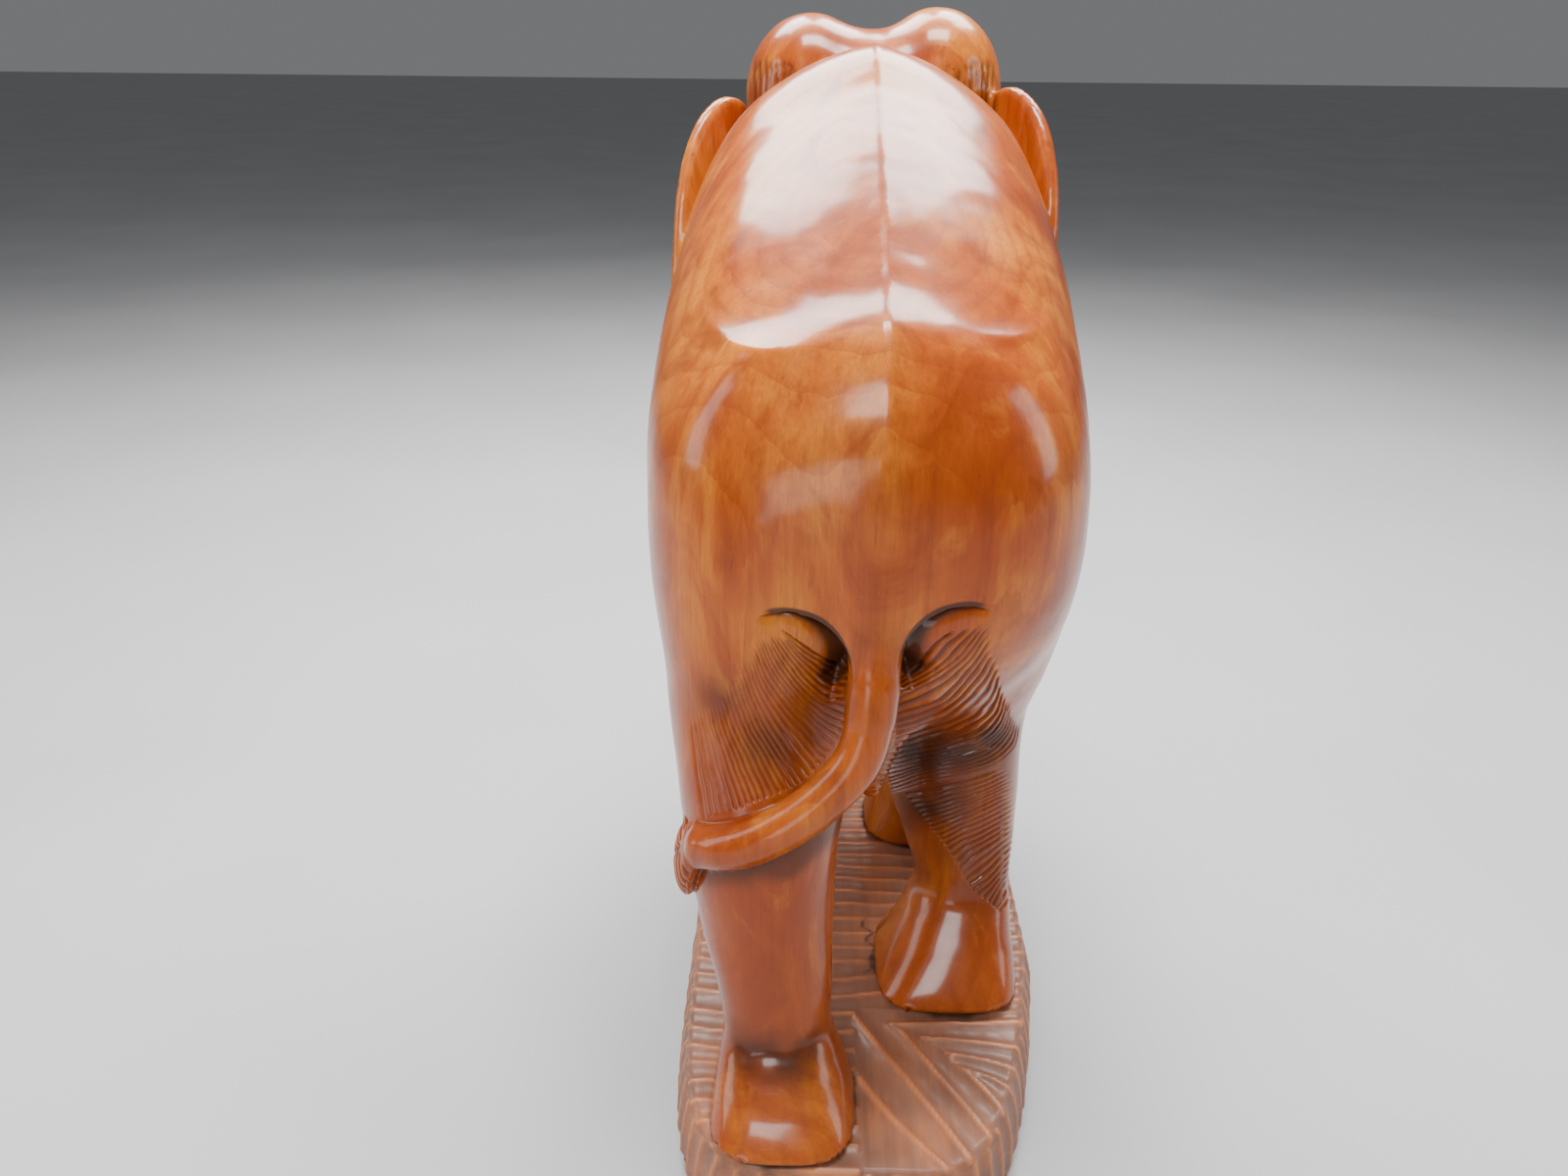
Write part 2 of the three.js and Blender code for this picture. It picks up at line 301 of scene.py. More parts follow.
def make_object(name, vertices, faces, material, attributes=None):
    """A mesh object from millimetre vertices and faces."""
    mesh = bpy.data.meshes.new(name)
    faces = faces.tolist() if isinstance(faces, np.ndarray) else faces
    mesh.from_pydata((np.asarray(vertices) * MM).tolist(), [], faces)
    mesh.polygons.foreach_set("use_smooth", [True] * len(mesh.polygons))
    for key, values in (attributes or {}).items():
        mesh.attributes.new(key, "FLOAT", "POINT").data.foreach_set("value", np.asarray(values, np.float32))
    mesh.materials.append(material)
    piece = bpy.data.objects.new(name, mesh)
    bpy.context.scene.collection.objects.link(piece)
    return piece


def refine(vertices, faces, wanted, field, rounds):
    """Splits the faces where wanted(points) is true, as many rounds as asked, and settles the new points."""
    bm = bmesh.new()
    for v in vertices:
        bm.verts.new(v)
    bm.verts.ensure_lookup_table()
    for f in faces:
        bm.faces.new([bm.verts[i] for i in f])
    for _ in range(rounds):
        points = np.array([v.co[:] for v in bm.verts])
        inside = wanted(points)
        bm.verts.index_update()
        edges = [e for e in bm.edges if inside[e.verts[0].index] and inside[e.verts[1].index]]
        bmesh.ops.subdivide_edges(bm, edges=edges, cuts=1, use_grid_fill=True)
        points = np.array([v.co[:] for v in bm.verts])
        touched = wanted(points)
        points[touched] = settle(field, points[touched])
        for v, p in zip(bm.verts, points):
            v.co = p
    bm.verts.index_update()
    points = np.array([v.co[:] for v in bm.verts])
    faces = [[v.index for v in f.verts] for f in bm.faces]
    bm.free()
    return points, faces


# ---------------------------------------------------------------- the figure's forms, in mm

PLINTH_TOP = 46.0
FEET_Z = PLINTH_TOP + 0.3


def torso():
    """Upright sections from chest to rump, closed by a rounded cap at each end."""
    stations = [  # along y, then centre x, centre z, half-width, half-height
        (-150, 0, 390, 70, 104), (-118, 0, 380, 75, 111), (-88, 1, 371, 86, 129),
        (-48, 2, 368, 98, 143), (-8, 2, 355, 103, 137), (32, 3, 342, 104, 130),
        (72, 4, 328, 103, 122), (112, 4, 321, 98, 105), (140, 4, 326, 96, 100), (168, 3, 329, 96, 98),
    ]
    form = loft(1, stations, 6, ((0, 2.35), (1, 2.35)), caps=((98, 167.5, 2.2), (-100, -154, 2.4)))
    plain = form.distance

    def ridged(points):
        """The spine and the line down the rump stand up as a soft ridge."""
        x = np.abs(points[:, 0] - 1)
        high = step_up(points[:, 2], 300, 400) * step_up(points[:, 1], -110, -70)
        return plain(points) - 6.5 * high * np.exp(-x / 24) + 2.0 * high * bell(x, 44, 22)

    form.distance = ridged
    return form


LEGS = {  # how square the foot is, then along z, centre x, centre y, half-width, half-depth
    "rear_left": (3.4, [
        (400, 36, 92, 30, 40), (330, 42, 98, 46, 54), (285, 47, 102, 49, 55), (240, 50, 106, 46, 52),
        (200, 50, 122, 40.5, 47), (170, 50, 133, 36, 40), (130, 47.5, 140, 32, 33),
        (100, 43.5, 148, 28.3, 28.5), (80, 42, 154, 26.4, 27.3), (70, 40.8, 161, 28.4, 31.5),
        (60, 39.3, 170, 31.8, 36.5), (46, 38.5, 177.5, 35.3, 40), (30, 38, 181, 38, 42),
    ]),
    "rear_right": (3.8, [
        (400, -34, 74, 30, 40), (330, -40, 72, 46, 52), (285, -45, 68, 48, 52), (240, -46.5, 58, 43.5, 48),
        (195, -47.5, 47, 38, 42), (150, -50.5, 46, 35.5, 36), (120, -55.5, 47, 30.5, 31.5),
        (94, -58.5, 54, 26, 27.5), (80, -56.5, 60.5, 28.5, 31), (66, -53.5, 68, 32.5, 35.5),
        (54, -50.5, 74, 36.5, 39), (46, -49, 76, 38.8, 40.6), (30, -48, 79, 42, 43),
    ]),
    "front_left": (3, [
        (420, 38, -76, 26, 38), (340, 43, -86, 38, 46), (285, 46, -97, 40, 45), (240, 47, -108, 37, 41),
        (180, 46, -124, 32, 34), (125, 44.5, -134, 28.5, 29), (92, 44, -139, 27, 27), (72, 44, -143, 29, 30),
        (58, 44, -147, 33, 34), (46, 44, -150, 36.4, 37.6), (30, 44, -153, 40, 42),
    ]),
    "front_right": (3, [
        (420, -38, -66, 26, 38), (340, -43, -76, 38, 45), (285, -47, -77, 40, 44), (240, -48, -75, 37, 40),
        (180, -48, -69, 32, 33), (125, -47, -64, 28.5, 29), (92, -46, -62, 27, 27), (72, -46, -65, 29, 30),
        (58, -46, -68, 33, 34), (46, -46, -71, 36.4, 37.6), (30, -46, -74, 40, 42),
    ]),
}
TRUNK = [
    (0, -140, 452, 44), (0, -162, 415, 40), (0, -180, 376, 35), (0, -193, 335, 31.5), (0, -201, 295, 29),
    (-1, -204, 255, 26.7), (-4, -201, 215, 24.4), (-9, -193, 175, 22), (-15, -184, 138, 19.5),
    (-20, -180, 106, 17.5), (-24, -188, 81, 15.5), (-25, -204, 71, 14), (-24, -219, 79, 12.5),
    (-22, -224, 96, 11.2),
]
JAW = [(0, -118, 395, 34), (0, -138, 362, 27), (0, -154, 334, 17.5), (0, -161, 321, 9)]
TUSK_SEAT = np.array([48.0, -184.0, 361.0])
TUSK_AXIS = np.array([0.2, -0.74, -0.64]) / math.hypot(0.2, 0.74, 0.64)
BORE_DEPTH, BORE_RADIUS = 26.0, 6.3
TENON_LENGTH, TENON_RADIUS = 24.0, 5.95
SHEATH = [(34, -150, 394, 19), (42, -168, 375, 17), (47.6, -182.8, 362, 14.4), (48, -184.4, 360.7, 14.2)]
TAIL_ROOT = [
    (1, 134, 356, 24), (1, 149, 326, 17), (1.5, 158, 296, 12.5), (2, 164, 274, 10.9), (3, 167.5, 258, 10.5),
]
TAIL_RADIUS = 10.4
TAIL = [(*place, TAIL_RADIUS) for place in (
    (2, 165.5, 270), (4, 169, 252), (8, 171.5, 238), (16, 173.5, 226.5), (28, 175.5, 214.5), (41, 176, 204.5),
    (54.5, 174, 195.5), (66, 169.5, 189.5), (74, 163, 185.5),
)]
TUFT = [
    (79, 159, 183, 11), (83, 153, 175.5, 14.5), (85, 145, 166.5, 16.5), (85.5, 136, 156.5, 15),
    (85.5, 128, 148, 10),
]
GROIN = [(0, 104, 268, 34), (0, 112, 232, 21), (-1, 115, 204, 11), (-2, 115, 187, 4.5)]
EARS = {1: ((61, -119, 462), 28, 2), -1: ((60, -119, 469), 24, 3)}  # root, flare and lean in degrees
EAR_OUTLINE = [  # back and up from the root, as curves of four points that share their ends
    (-6, 0), (-2, 20), (12, 29), (27, 28), (46, 25), (66, 6), (77, -18), (86, -38), (91, -56), (89, -74),
    (86, -98), (72, -118), (56, -133), (48, -142), (40, -150), (33, -148), (22, -140), (20, -120), (12, -98),
    (4, -74), (-10, -40), (-6, 0),
]
EYES = [(50.2, -161.8, 431.4), (-50.2, -161.8, 431.4)]
EYE_RADIUS = 6.0


def bezier_loop(points, per_curve):
    """Points round a closed outline of curves of four points that share their ends."""
    p = np.array(points, float)
    t = np.linspace(0, 1, per_curve, endpoint=False)[:, None]
    s = 1 - t
    shares = (s**3, 3 * s**2 * t, 3 * s * t**2, t**3)
    starts = range(0, len(p) - 1, 3)
    return np.vstack([sum(share * p[i + k] for k, share in enumerate(shares)) for i in starts])


def outline_distance(points, loop):
    """Signed distance in a plane to a closed outline, negative inside, and how far round it the nearest
    place is."""
    best, inside, around = np.full(len(points), 1e9), np.zeros(len(points), bool), np.zeros(len(points))
    walked = 0.0
    for a, b in zip(loop, np.roll(loop, -1, axis=0)):
        run = b - a
        p = points - a
        t = np.clip(p @ run / (run @ run), 0, 1)
        gap = ((p - t[:, None] * run) ** 2).sum(1)
        length = math.hypot(*run)
        around = np.where(gap < best, walked + t * length, around)
        best = np.minimum(best, gap)
        walked += length
        crosses = (a[1] > points[:, 1]) != (b[1] > points[:, 1])
        rise = run[1] if run[1] else 1e-9
        inside ^= crosses & (p[:, 0] < p[:, 1] / rise * run[0])
    return np.where(inside, -1, 1) * np.sqrt(best), around


def ear_place(points, side):
    """Back, up and outward coordinates on an ear."""
    root, flare, lean = EARS[side]
    p = points * (side, 1, 1) - root
    a, b = math.radians(lean), math.radians(-flare)
    x = p[:, 0] * math.cos(a) - p[:, 2] * math.sin(a)
    z = p[:, 0] * math.sin(a) + p[:, 2] * math.cos(a)
    out = x * math.cos(b) + p[:, 1] * math.sin(b)
    back = -x * math.sin(b) + p[:, 1] * math.cos(b)
    return back, z, out


def ear(side):
    loop = bezier_loop(EAR_OUTLINE, 9)

    def distance(points):
        back, up, out = ear_place(points, side)
        edge = outline_distance(np.stack([back, up], axis=1), loop)[0]
        deep = step_up(-edge, 0, 26)
        middle = 5.5 + 2.5 * deep + 2.5 * np.sin(up / 26 + 0.6) * step_up(back, 10, 60)
        thick = 3.6 + 2.4 * deep
        rim = 3.0
        side_gap = np.abs(out - middle) - thick + rim
        q = np.hypot(np.maximum(edge + rim, 0), np.maximum(side_gap, 0))
        return q + np.minimum(np.maximum(edge + rim, side_gap), 0) - rim

    root = np.array(EARS[side][0], float)
    low, high = root + (-12, -14, -154), root + (52, 90, 34)
    if side < 0:
        low[0], high[0] = -high[0], -low[0]
    return Form(distance, low, high, 5)


BODY_FORMS = [
    torso(),
    *[loft(2, stations, 16, ((44, square), (70, 2.5), (92, 2.15))) for square, stations in LEGS.values()],
    ellipsoid((-50, 64, 262), (42, 52, 66), 10),  # the right haunch, which ends in a fold above the knee
    cord(GROIN, 14, 12),
    ellipsoid((-2, -134, 464), (66, 47, 60), 12),
    ellipsoid((33, -138, 489.5), (36.6, 41, 42.6), 9),
    ellipsoid((-38, -138, 491.5), (37.1, 41, 44), 9),
    ellipsoid((0, -146, 405), (57, 45, 66), 14),
    cord(TRUNK, 14, 44),
    cord(JAW, 9, 12),
    *[cord([(s * x, y, z, r) for x, y, z, r in SHEATH], 9, 10) for s in (1, -1)],
    *[ellipsoid((s * 40, -166, 450), (15, 13, 9), 10) for s in (1, -1)],
    *[ellipsoid((s * 40, -158, 405), (19, 24, 30), 12) for s in (1, -1)],
]
TAIL_FORMS = [cord(TAIL_ROOT, 14, 18), cord(TAIL, 2.5, 30)]
BRUSH = cord(TUFT, 1.5, 16, (2.5, 1, 1))
LATE_FORMS = [ear(1), ear(-1), *TAIL_FORMS, BRUSH]  # joined on after the crescents are hollowed


CRESCENTS = ((38.9, 274.9, 27, 1), (-33.8, 279, 26.4, -1))  # centre x and z, radius, side


def hollow_depth(points, depth):
    """How deep the two crescent hollows beside the tail are, undercut at their upper edge. They are deepest
    beside the tail and run out to a point."""
    total = np.zeros(len(points))
    behind = step_up(points[:, 1], 110, 135)
    x, z = points[:, 0], points[:, 2] - 0.6 * np.clip(depth, 0, 14)
    for cx, cz, radius, side in CRESCENTS:
        dx, dz = (x - cx) * side, z - cz
        inside = radius - np.hypot(dx, dz)
        angle = np.degrees(np.arctan2(dz, dx)) % 360
        arc = window(angle, 80, 208, 22) * behind * step_up(inside, -0.8, 1.4)
        inside = np.maximum(inside, 0)
        wide = np.interp(angle, [70, 110, 185], [3.0, 5.0, 8.5])
        deep = np.interp(angle, [60, 110, 170], [3.0, 7.0, 9.5])
        total += arc * (deep * bell(inside, 0, wide) + 2.2 * bell(inside, 0, 20))
    return total


def undercut_slack(points):
    """How far off the field is beside the undercut crescents."""
    x, y, z = points.T
    return 13.0 * ((np.abs(x) < 74) & (y > 100) & between(z, 236, 330))


def figure_field(points):
    field = np.full(len(points), FAR)
    for form in BODY_FORMS:
        form.onto(field, points)
    field = field + hollow_depth(points, -field)
    for form in LATE_FORMS:
        form.onto(field, points)
    head = np.nonzero((points[:, 1] < -140) & (points[:, 2] > 320))[0]
    if len(head):
        near, around = field[head], points[head].copy()
        around[:, 0] = np.abs(around[:, 0])
        bore = rod_distance(around, TUSK_SEAT, TUSK_AXIS, -BORE_DEPTH, 4, BORE_RADIUS)
        mouth = rod_distance(around, TUSK_SEAT, TUSK_AXIS, -0.3, 30, 10.0)
        near = cut_away(near, np.minimum(bore, mouth), 1.0)
        field[head] = cut_away(near, np.linalg.norm(around - EYES[0], axis=1) - EYE_RADIUS - 0.2, 0.6)
    return np.maximum(field, FEET_Z - points[:, 2])


# ---------------------------------------------------------------- carved lines

BEHIND = 165.0  # y of the upright sheet that the lines on the rump are laid out on, as seen from behind


def on_sheet(points):
    """Where each point lies on the sheet, seen from the viewpoint."""
    share = (BEHIND - VIEWPOINT[1]) / (points[:, 1] - VIEWPOINT[1])
    seen = VIEWPOINT + (points - VIEWPOINT) * share[:, None]
    return seen[:, [0, 2]]


class Comb:
    """A sheaf of gouged lines. Guides are curves of plane points, and lines says how many gouges lie between
    each guide and the next. Edge is the share of a line that it takes to fade in, and last is how deep the
    last line is beside the first. A sheaf that's only used for place needs no more than its guides."""

    ALONG, ACROSS = 24, 8  # grid points along each guide, and from one guide to the next

    def __init__(self, guides, lines=(), depth=0.0, edge=0.0, last=1.0):
        across = len(guides)
        rows = np.array([spline(g, self.ALONG) for g in guides])
        fine = self.ACROSS * (across - 1) + 1
        self.grid = np.stack([spline(rows[:, k], fine) for k in range(self.ALONG)], axis=1)
        self.count = np.concatenate([[0], np.cumsum(lines)])
        self.depth, self.edge, self.last, self.across = depth, edge, last, across

    def place(self, plane):
        """Guide number and way along for each plane point, and how far it is from the sheaf."""
        n, m = self.grid.shape[:2]
        flat = self.grid.reshape(-1, 2)
        best = np.empty(len(plane), int)
        for i in range(0, len(plane), 4000):
            gap = ((plane[i:i + 4000, None] - flat) ** 2).sum(2)
            best[i:i + 4000] = gap.argmin(1)
        i, j = best // m, best % m
        i0, i1 = np.clip(i - 1, 0, n - 1), np.clip(i + 1, 0, n - 1)
        j0, j1 = np.clip(j - 1, 0, m - 1), np.clip(j + 1, 0, m - 1)
        du = (self.grid[i1, j] - self.grid[i0, j]) / (i1 - i0)[:, None]
        dv = (self.grid[i, j1] - self.grid[i, j0]) / (j1 - j0)[:, None]
        gap = plane - self.grid[i, j]
        det = du[:, 0] * dv[:, 1] - du[:, 1] * dv[:, 0]
        det = np.where(np.abs(det) < 1e-6, 1e-6, det)
        a = (gap[:, 0] * dv[:, 1] - gap[:, 1] * dv[:, 0]) / det
        b = (du[:, 0] * gap[:, 1] - du[:, 1] * gap[:, 0]) / det
        u = (i + np.clip(a, -3, 3)) / self.ACROSS
        v = (j + np.clip(b, -3, 3)) / (m - 1)
        return u, v, np.linalg.norm(gap, axis=1)

    def cut(self, plane, points):
        """Depth of the gouges in mm, and the painted shade that darkens them."""
        u, v, gap = self.place(plane)
        line = np.interp(u, np.arange(self.across), self.count) + 0.16 * noise(points, 9, 3)
        number = np.round(line)
        spread = RANDOM[(number.astype(int) * 37 + 5) % len(RANDOM)]
        groove = grooves(line)
        start = self.edge * (0.8 + 0.8 * spread)
        ends = step_up(v, start - 0.02, start + 2 * self.edge) * (1 - step_up(v, 0.97, 1.0))
        sides = window(u, -0.03, self.across - 1.02, 0.1) * (1 + (self.last - 1) * u / (self.across - 1))
        near = 1 - step_up(gap, 3, 6)
        strength = ends * sides * near
        # The second value is painted shade in the gouges, darkest in their troughs.
        return self.depth * strength * (groove**1.6) * (0.85 + 0.3 * spread), strength * groove


LEFT_FAN = Comb(
    [
        [(44.5, 298), (34, 290), (23, 282.5), (12, 279)], [(41, 293.5), (32, 283), (21, 275.5), (12, 273)],
        [(47, 295), (37, 278), (25, 264.5), (12, 258)], [(51, 294), (42, 275), (27.5, 256.5), (14.5, 247)],
        [(54, 290), (47, 272), (34.5, 253.5), (20, 237)], [(59, 281), (52, 258), (40, 236), (31, 221)],
        [(68, 266), (63.5, 247), (56, 228), (50, 211)], [(80, 256), (79, 238), (77, 218), (75, 201)],
    ],
    [2, 4, 3, 3, 5, 7, 9], 1.4, 0.05, 0.45,
)
RIGHT_FAN = Comb(
    [
        [(-33, 299), (-23, 290), (-15, 279), (-9, 274)], [(-41, 300), (-32, 288), (-24, 279), (-8, 269)],
        [(-44.5, 300), (-36, 285), (-24, 273), (-7, 263)], [(-46.5, 295), (-38, 279), (-26, 264), (-7, 255)],
        [(-49, 285), (-43, 271), (-30, 256), (-7, 246)], [(-52, 275), (-48, 260), (-35, 248), (-6, 238)],
        [(-55, 267), (-52, 252), (-40, 241), (-3, 230)],
        [(-58, 260), (-56, 247), (-45, 236), (-20, 228), (0, 220)],
        [(-61, 254), (-59, 241), (-48, 231), (-24, 223), (-7, 217)],
    ],
    [2, 2, 2, 3, 3, 3, 4, 3], 1.3, 0.05, 0.9,
)
LEG_FAN = Comb(
    [
        [(-58, 233), (-46, 226), (-27, 219), (-14, 216)], [(-62, 228), (-48, 219), (-32, 212), (-19, 208)],
        [(-64, 221), (-51, 213), (-38, 205), (-25, 199)], [(-66, 213), (-54, 204), (-42, 196), (-32, 190)],
        [(-67, 203), (-57, 194), (-47, 185), (-40, 177)], [(-68, 197), (-61, 184), (-53, 172), (-47, 166)],
        [(-68, 185), (-63, 174), (-59, 165), (-56, 157)], [(-67, 172), (-64, 165), (-63, 159), (-60, 154)],
    ],
    [3, 4, 4, 4, 4, 4, 2], 1.0, 0.08,
)


def fan_area(points):
    """True where the rump's and right leg's carved lines are, with the crescents and the brush."""
    x, y, z = points.T
    across, up = on_sheet(points).T
    left = between(across, 5, 84) & between(up, 190, 312) & (y > 96)
    right = between(across, -74, 5) & between(up, 148, 314)
    brush = (x > 74) & between(y, 112, 172) & between(z, 132, 196)
    return ((y > 30) & (left | right)) | brush


def face_area(points):
    """True round the eyes and tusk sockets and at the trunk's tip."""
    x, y, z = np.abs(points[:, 0]), points[:, 1], points[:, 2]
    eyes = (x > 32) & (y < -132) & between(z, 408, 454)
    sockets = (x > 30) & (y < -168) & between(z, 340, 380)
    tip = (y < -205) & (z < 112)
    return eyes | sockets | tip


def carve(points, normals):
    """Moves the figure's points in along their normals, and returns them with the painted shade in each cut."""
    depth, dark = np.zeros(len(points)), np.zeros(len(points))
    plane = on_sheet(points)
    facing = step_up(normals[:, 1], 0.0, 0.25)
    rear = (points[:, 1] > 30) & (normals[:, 1] > -0.2)
    off_tail = step_up(gap_to([*TAIL_FORMS, BRUSH], points), 0.5, 3.5)
    x, y = points[:, 0], points[:, 1]
    # tone and dark carry painted shade in the gouges.
    for comb, allowed in ((LEFT_FAN, x > 4), (RIGHT_FAN, x < 6), (LEG_FAN, (x < -8) & (y < 106))):
        box = between(plane, comb.grid.min((0, 1)) - 4, comb.grid.max((0, 1)) + 4)
        where = np.nonzero(rear & allowed & np.all(box, axis=1))[0]
        cut, tone = comb.cut(plane[where], points[where])
        share = facing[where] * off_tail[where]
        depth[where] = np.maximum(depth[where], cut * share)
        dark[where] = np.maximum(dark[where], tone * share)
    # Each of these also gives painted shade in its own cuts.
    for extra in (head_gouges, tuft_braid, trunk_folds, ankle_crease, toe_lines, ear_gouges, eyelids):
        cut, tone = extra(points, normals)
        depth += cut
        dark = np.maximum(dark, tone)
    depth += 0.28 * noise(points, 26, 1) + 0.12 * noise(points, 9, 2)
    moved = points - normals * depth[:, None]
    moved[:, 2] = np.maximum(moved[:, 2], FEET_Z)
    return moved, dark


def head_gouges(points, normals):
    """Upright gouges low on the back of each dome, beside the neck."""
    x, y, z = points.T
    line = np.abs(x) / 3.4 + 0.25 * noise(points, 8, 5)
    area = window(np.abs(x), 40, 67, 3) * window(z, 478, 506 + 4 * noise(points, 5, 9), 4)
    area *= window(y, -128, -92, 4) * step_up(normals[:, 1], 0.1, 0.35)
    groove = grooves(line)
    return area * groove**1.5, area * groove


def ear_gouges(points, normals):
    """Upright gouges low on the back of each ear."""
    cut, tone = np.zeros(len(points)), np.zeros(len(points))
    for side in (1, -1):
        back, up, out = ear_place(points, side)
        inner = step_up(-(normals @ np.array([side * 0.88, -0.47, 0.0])), 0.2, 0.5)
        area = window(back, 30, 84, 5) * window(up, -110, -34 + 0.3 * (60 - back), 8)
        area *= window(out, -8, 14, 3) * inner
        groove = grooves(back / 3.6 + 0.3 * noise(points, 10, 6))
        cut += 0.8 * area * groove**1.4
        tone = np.maximum(tone, area * groove)
    return cut, tone


def tuft_braid(points, normals):
    """The tail's brush, carved as a plait of slanting locks."""
    y, z = points[:, 1] - 162, points[:, 2] - 185
    along, across = -0.68 * y - 0.73 * z, 0.73 * y - 0.68 * z
    area = window(along, 4, 52, 2.5) * step_up(points[:, 0], 76, 80) * step_up(normals[:, 0], -0.1, 0.2)
    near = np.nonzero(area > 0)[0]
    area[near] *= 1 - step_up(BRUSH.distance(points[near]), 0.5, 1.5)
    groove = grooves((along - 0.8 * np.abs(across)) / 4.6) ** 1.5
    shaded_seam = bell(across, 0, 1.2)
    return area * (1.1 * groove + 0.9 * shaded_seam), area * np.maximum(groove, shaded_seam)


def trunk_folds(points, normals):
    """Shallow rings round the front of the trunk, closer towards its tip."""
    x, y, z = points.T
    area = window(z, 62, 400, 12) * (1 - step_up(y, -168, -150)) * (1 - step_up(np.abs(x), 27, 36))
    along = np.where(z > 110, (z - 0.25 * np.abs(x)) / (6 + z / 60), 0)
    groove = grooves(along + 0.3 * noise(points, 30, 4)) ** 4
    area *= step_up(z, 108, 118) * step_up(-normals[:, 1], -0.5, 0.1)
    area *= 0.65 + 0.35 * noise(points, 24, 8)
    return 0.85 * area * groove, 0.3 * area * groove


def eyelids(points, normals):
    """A raised almond-shaped rim round each eye, with a cut outside it and two creases below."""
    x, y, z = points.T
    side = (np.abs(x) > 30) & (y < -125) & between(z, 395, 460)
    back = y - EYES[0][1]
    up = z - EYES[0][2] - 0.12 * back
    almond = np.hypot(0.62 * back, 1.05 * up + 0.012 * back**2)
    outside = bell(almond, 10.4, 0.8)
    creases = (bell(almond, 14.2, 0.8) + 0.7 * bell(almond, 17.8, 0.8)) * step_up(-up, 2, 8)
    creases *= window(back, -12, 14, 5)
    depth = 0.9 * outside + 0.6 * creases - 1.2 * bell(almond, 7.6, 1.2)
    return side * depth, side * np.clip(0.6 * outside + 0.4 * creases, 0, 1)


def ankle_crease(points, normals):
    """The dented crease above the left hind heel."""
    x, y, z = points.T
    line = 80 + 2.5 * noise(points, 9, 7) - 0.06 * (x - 30)
    area = window(x, 19, 56, 6) * step_up(y, 160, 172)
    dent = bell(z, line, 4.5) * area
    return 1.1 * dent, 0.75 * dent


def toe_lines(points, normals):
    """Toenails at the front of each foot, outlined by a cut."""
    x, y, z = points.T
    cut, tone = np.zeros(len(points)), np.zeros(len(points))
    feet = ((39, 175, 35.5, 38.5), (-49.5, 76, 39.5, 39), (44, -150, 37, 37.5), (-46, -71, 37, 37.5))
    for cx, cy, hx, hy in feet:
        dx, dy = (x - cx) / hx, (y - cy) / hy
        near = between(np.hypot(dx, dy), 0.7, 1.25) & (z < 74)
        angle = np.degrees(np.arctan2(dx, -dy))
        for middle in (-45, -15, 15, 45):
            gap = np.hypot((angle - middle) / 11.5, (z - 50) / 12.0)
            ring = bell(gap, 1, 0.13) * near
            cut += 0.9 * (ring - near * (1 - step_up(gap, 0.72, 0.98)))
            tone = np.maximum(tone, 0.8 * ring)
    return cut, tone


# ---------------------------------------------------------------- materials

class Nodes:
    """Short ways to add and link the nodes of one material."""

    def __init__(self, name):
        self.material = bpy.data.materials.new(name)
        self.material.use_nodes = True
        self.tree = self.material.node_tree
        self.shader = next(n for n in self.tree.nodes if n.type == "BSDF_PRINCIPLED")
        self.place = self.add("ShaderNodeTexCoord").outputs["Object"]

    def add(self, kind, inputs=None, **settings):
        node = self.tree.nodes.new(kind)
        for key, value in settings.items():
            setattr(node, key, value)
        for key, value in (inputs or {}).items():
            self.set(node.inputs[key], value)
        return node

    def set(self, socket, value):
        if isinstance(value, bpy.types.NodeSocket):
            self.tree.links.new(value, socket)
        else:
            socket.default_value = value

    def mapped(self, scale, turn=(0, 0, 0), move=(0, 0, 0)):
        inputs = {"Vector": self.place, "Scale": scale, "Rotation": turn, "Location": move}
        return self.add("ShaderNodeMapping", inputs).outputs[0]

    def noise(self, scale, detail=3.0, rough=0.55, move=(0, 0, 0), distort=0.0):
        inputs = {
            "Vector": self.mapped(scale, move=move), "Scale": 1.0, "Detail": detail, "Roughness": rough,
            "Distortion": distort,
        }
        return self.add("ShaderNodeTexNoise", inputs).outputs[0]

    def maths(self, operation, *values):
        return self.add("ShaderNodeMath", dict(enumerate(values)), operation=operation).outputs[0]

    def ramp(self, value, stops):
        node = self.add("ShaderNodeValToRGB", {"Fac": value})
        while len(node.color_ramp.elements) < len(stops):
            node.color_ramp.elements.new(0.5)
        for element, (position, colour) in zip(node.color_ramp.elements, stops):
            element.position = position
            element.color = (*colour, 1)
        return node.outputs[0]

    def grey(self, value, low, high, dark=0.0, light=1.0):
        inputs = {"Value": value, "From Min": low, "From Max": high, "To Min": dark, "To Max": light}
        return self.add("ShaderNodeMapRange", inputs).outputs[0]

    def mix(self, share, a, b):
        node = self.add("ShaderNodeMix", data_type="RGBA")
        for name, value in (("Factor", share), ("A", a), ("B", b)):
            socket = next(s for s in node.inputs if s.name == name and s.enabled)
            if isinstance(value, tuple) and len(value) == 3:
                value = (*value, 1)
            self.set(socket, value)
        return next(s for s in node.outputs if s.enabled)

    def tint(self, base, colour, value, low, high, most):
        """Base with a colour mixed in as value runs from low to high, up to this share."""
        return self.mix(self.grey(value, low, high, 0, most), base, colour)

    def attribute(self, name):
        return self.add("ShaderNodeAttribute", attribute_name=name).outputs["Fac"]

    def bump(self, height, strength, distance):
        inputs = {"Height": height, "Strength": strength, "Distance": distance}
        return self.add("ShaderNodeBump", inputs).outputs[0]

    def finish(self, colour, rough, bump=None, coat=0.0, coat_rough=0.1, **sockets):
        self.set(self.shader.inputs["Base Color"], colour)
        self.set(self.shader.inputs["Roughness"], rough)
        self.shader.inputs["Coat Weight"].default_value = coat
        self.shader.inputs["Coat Roughness"].default_value = coat_rough
        for key, value in sockets.items():
            self.shader.inputs[key.replace("_", " ")].default_value = value
        if bump is not None:
            self.set(self.shader.inputs["Normal"], bump)
        return self.material


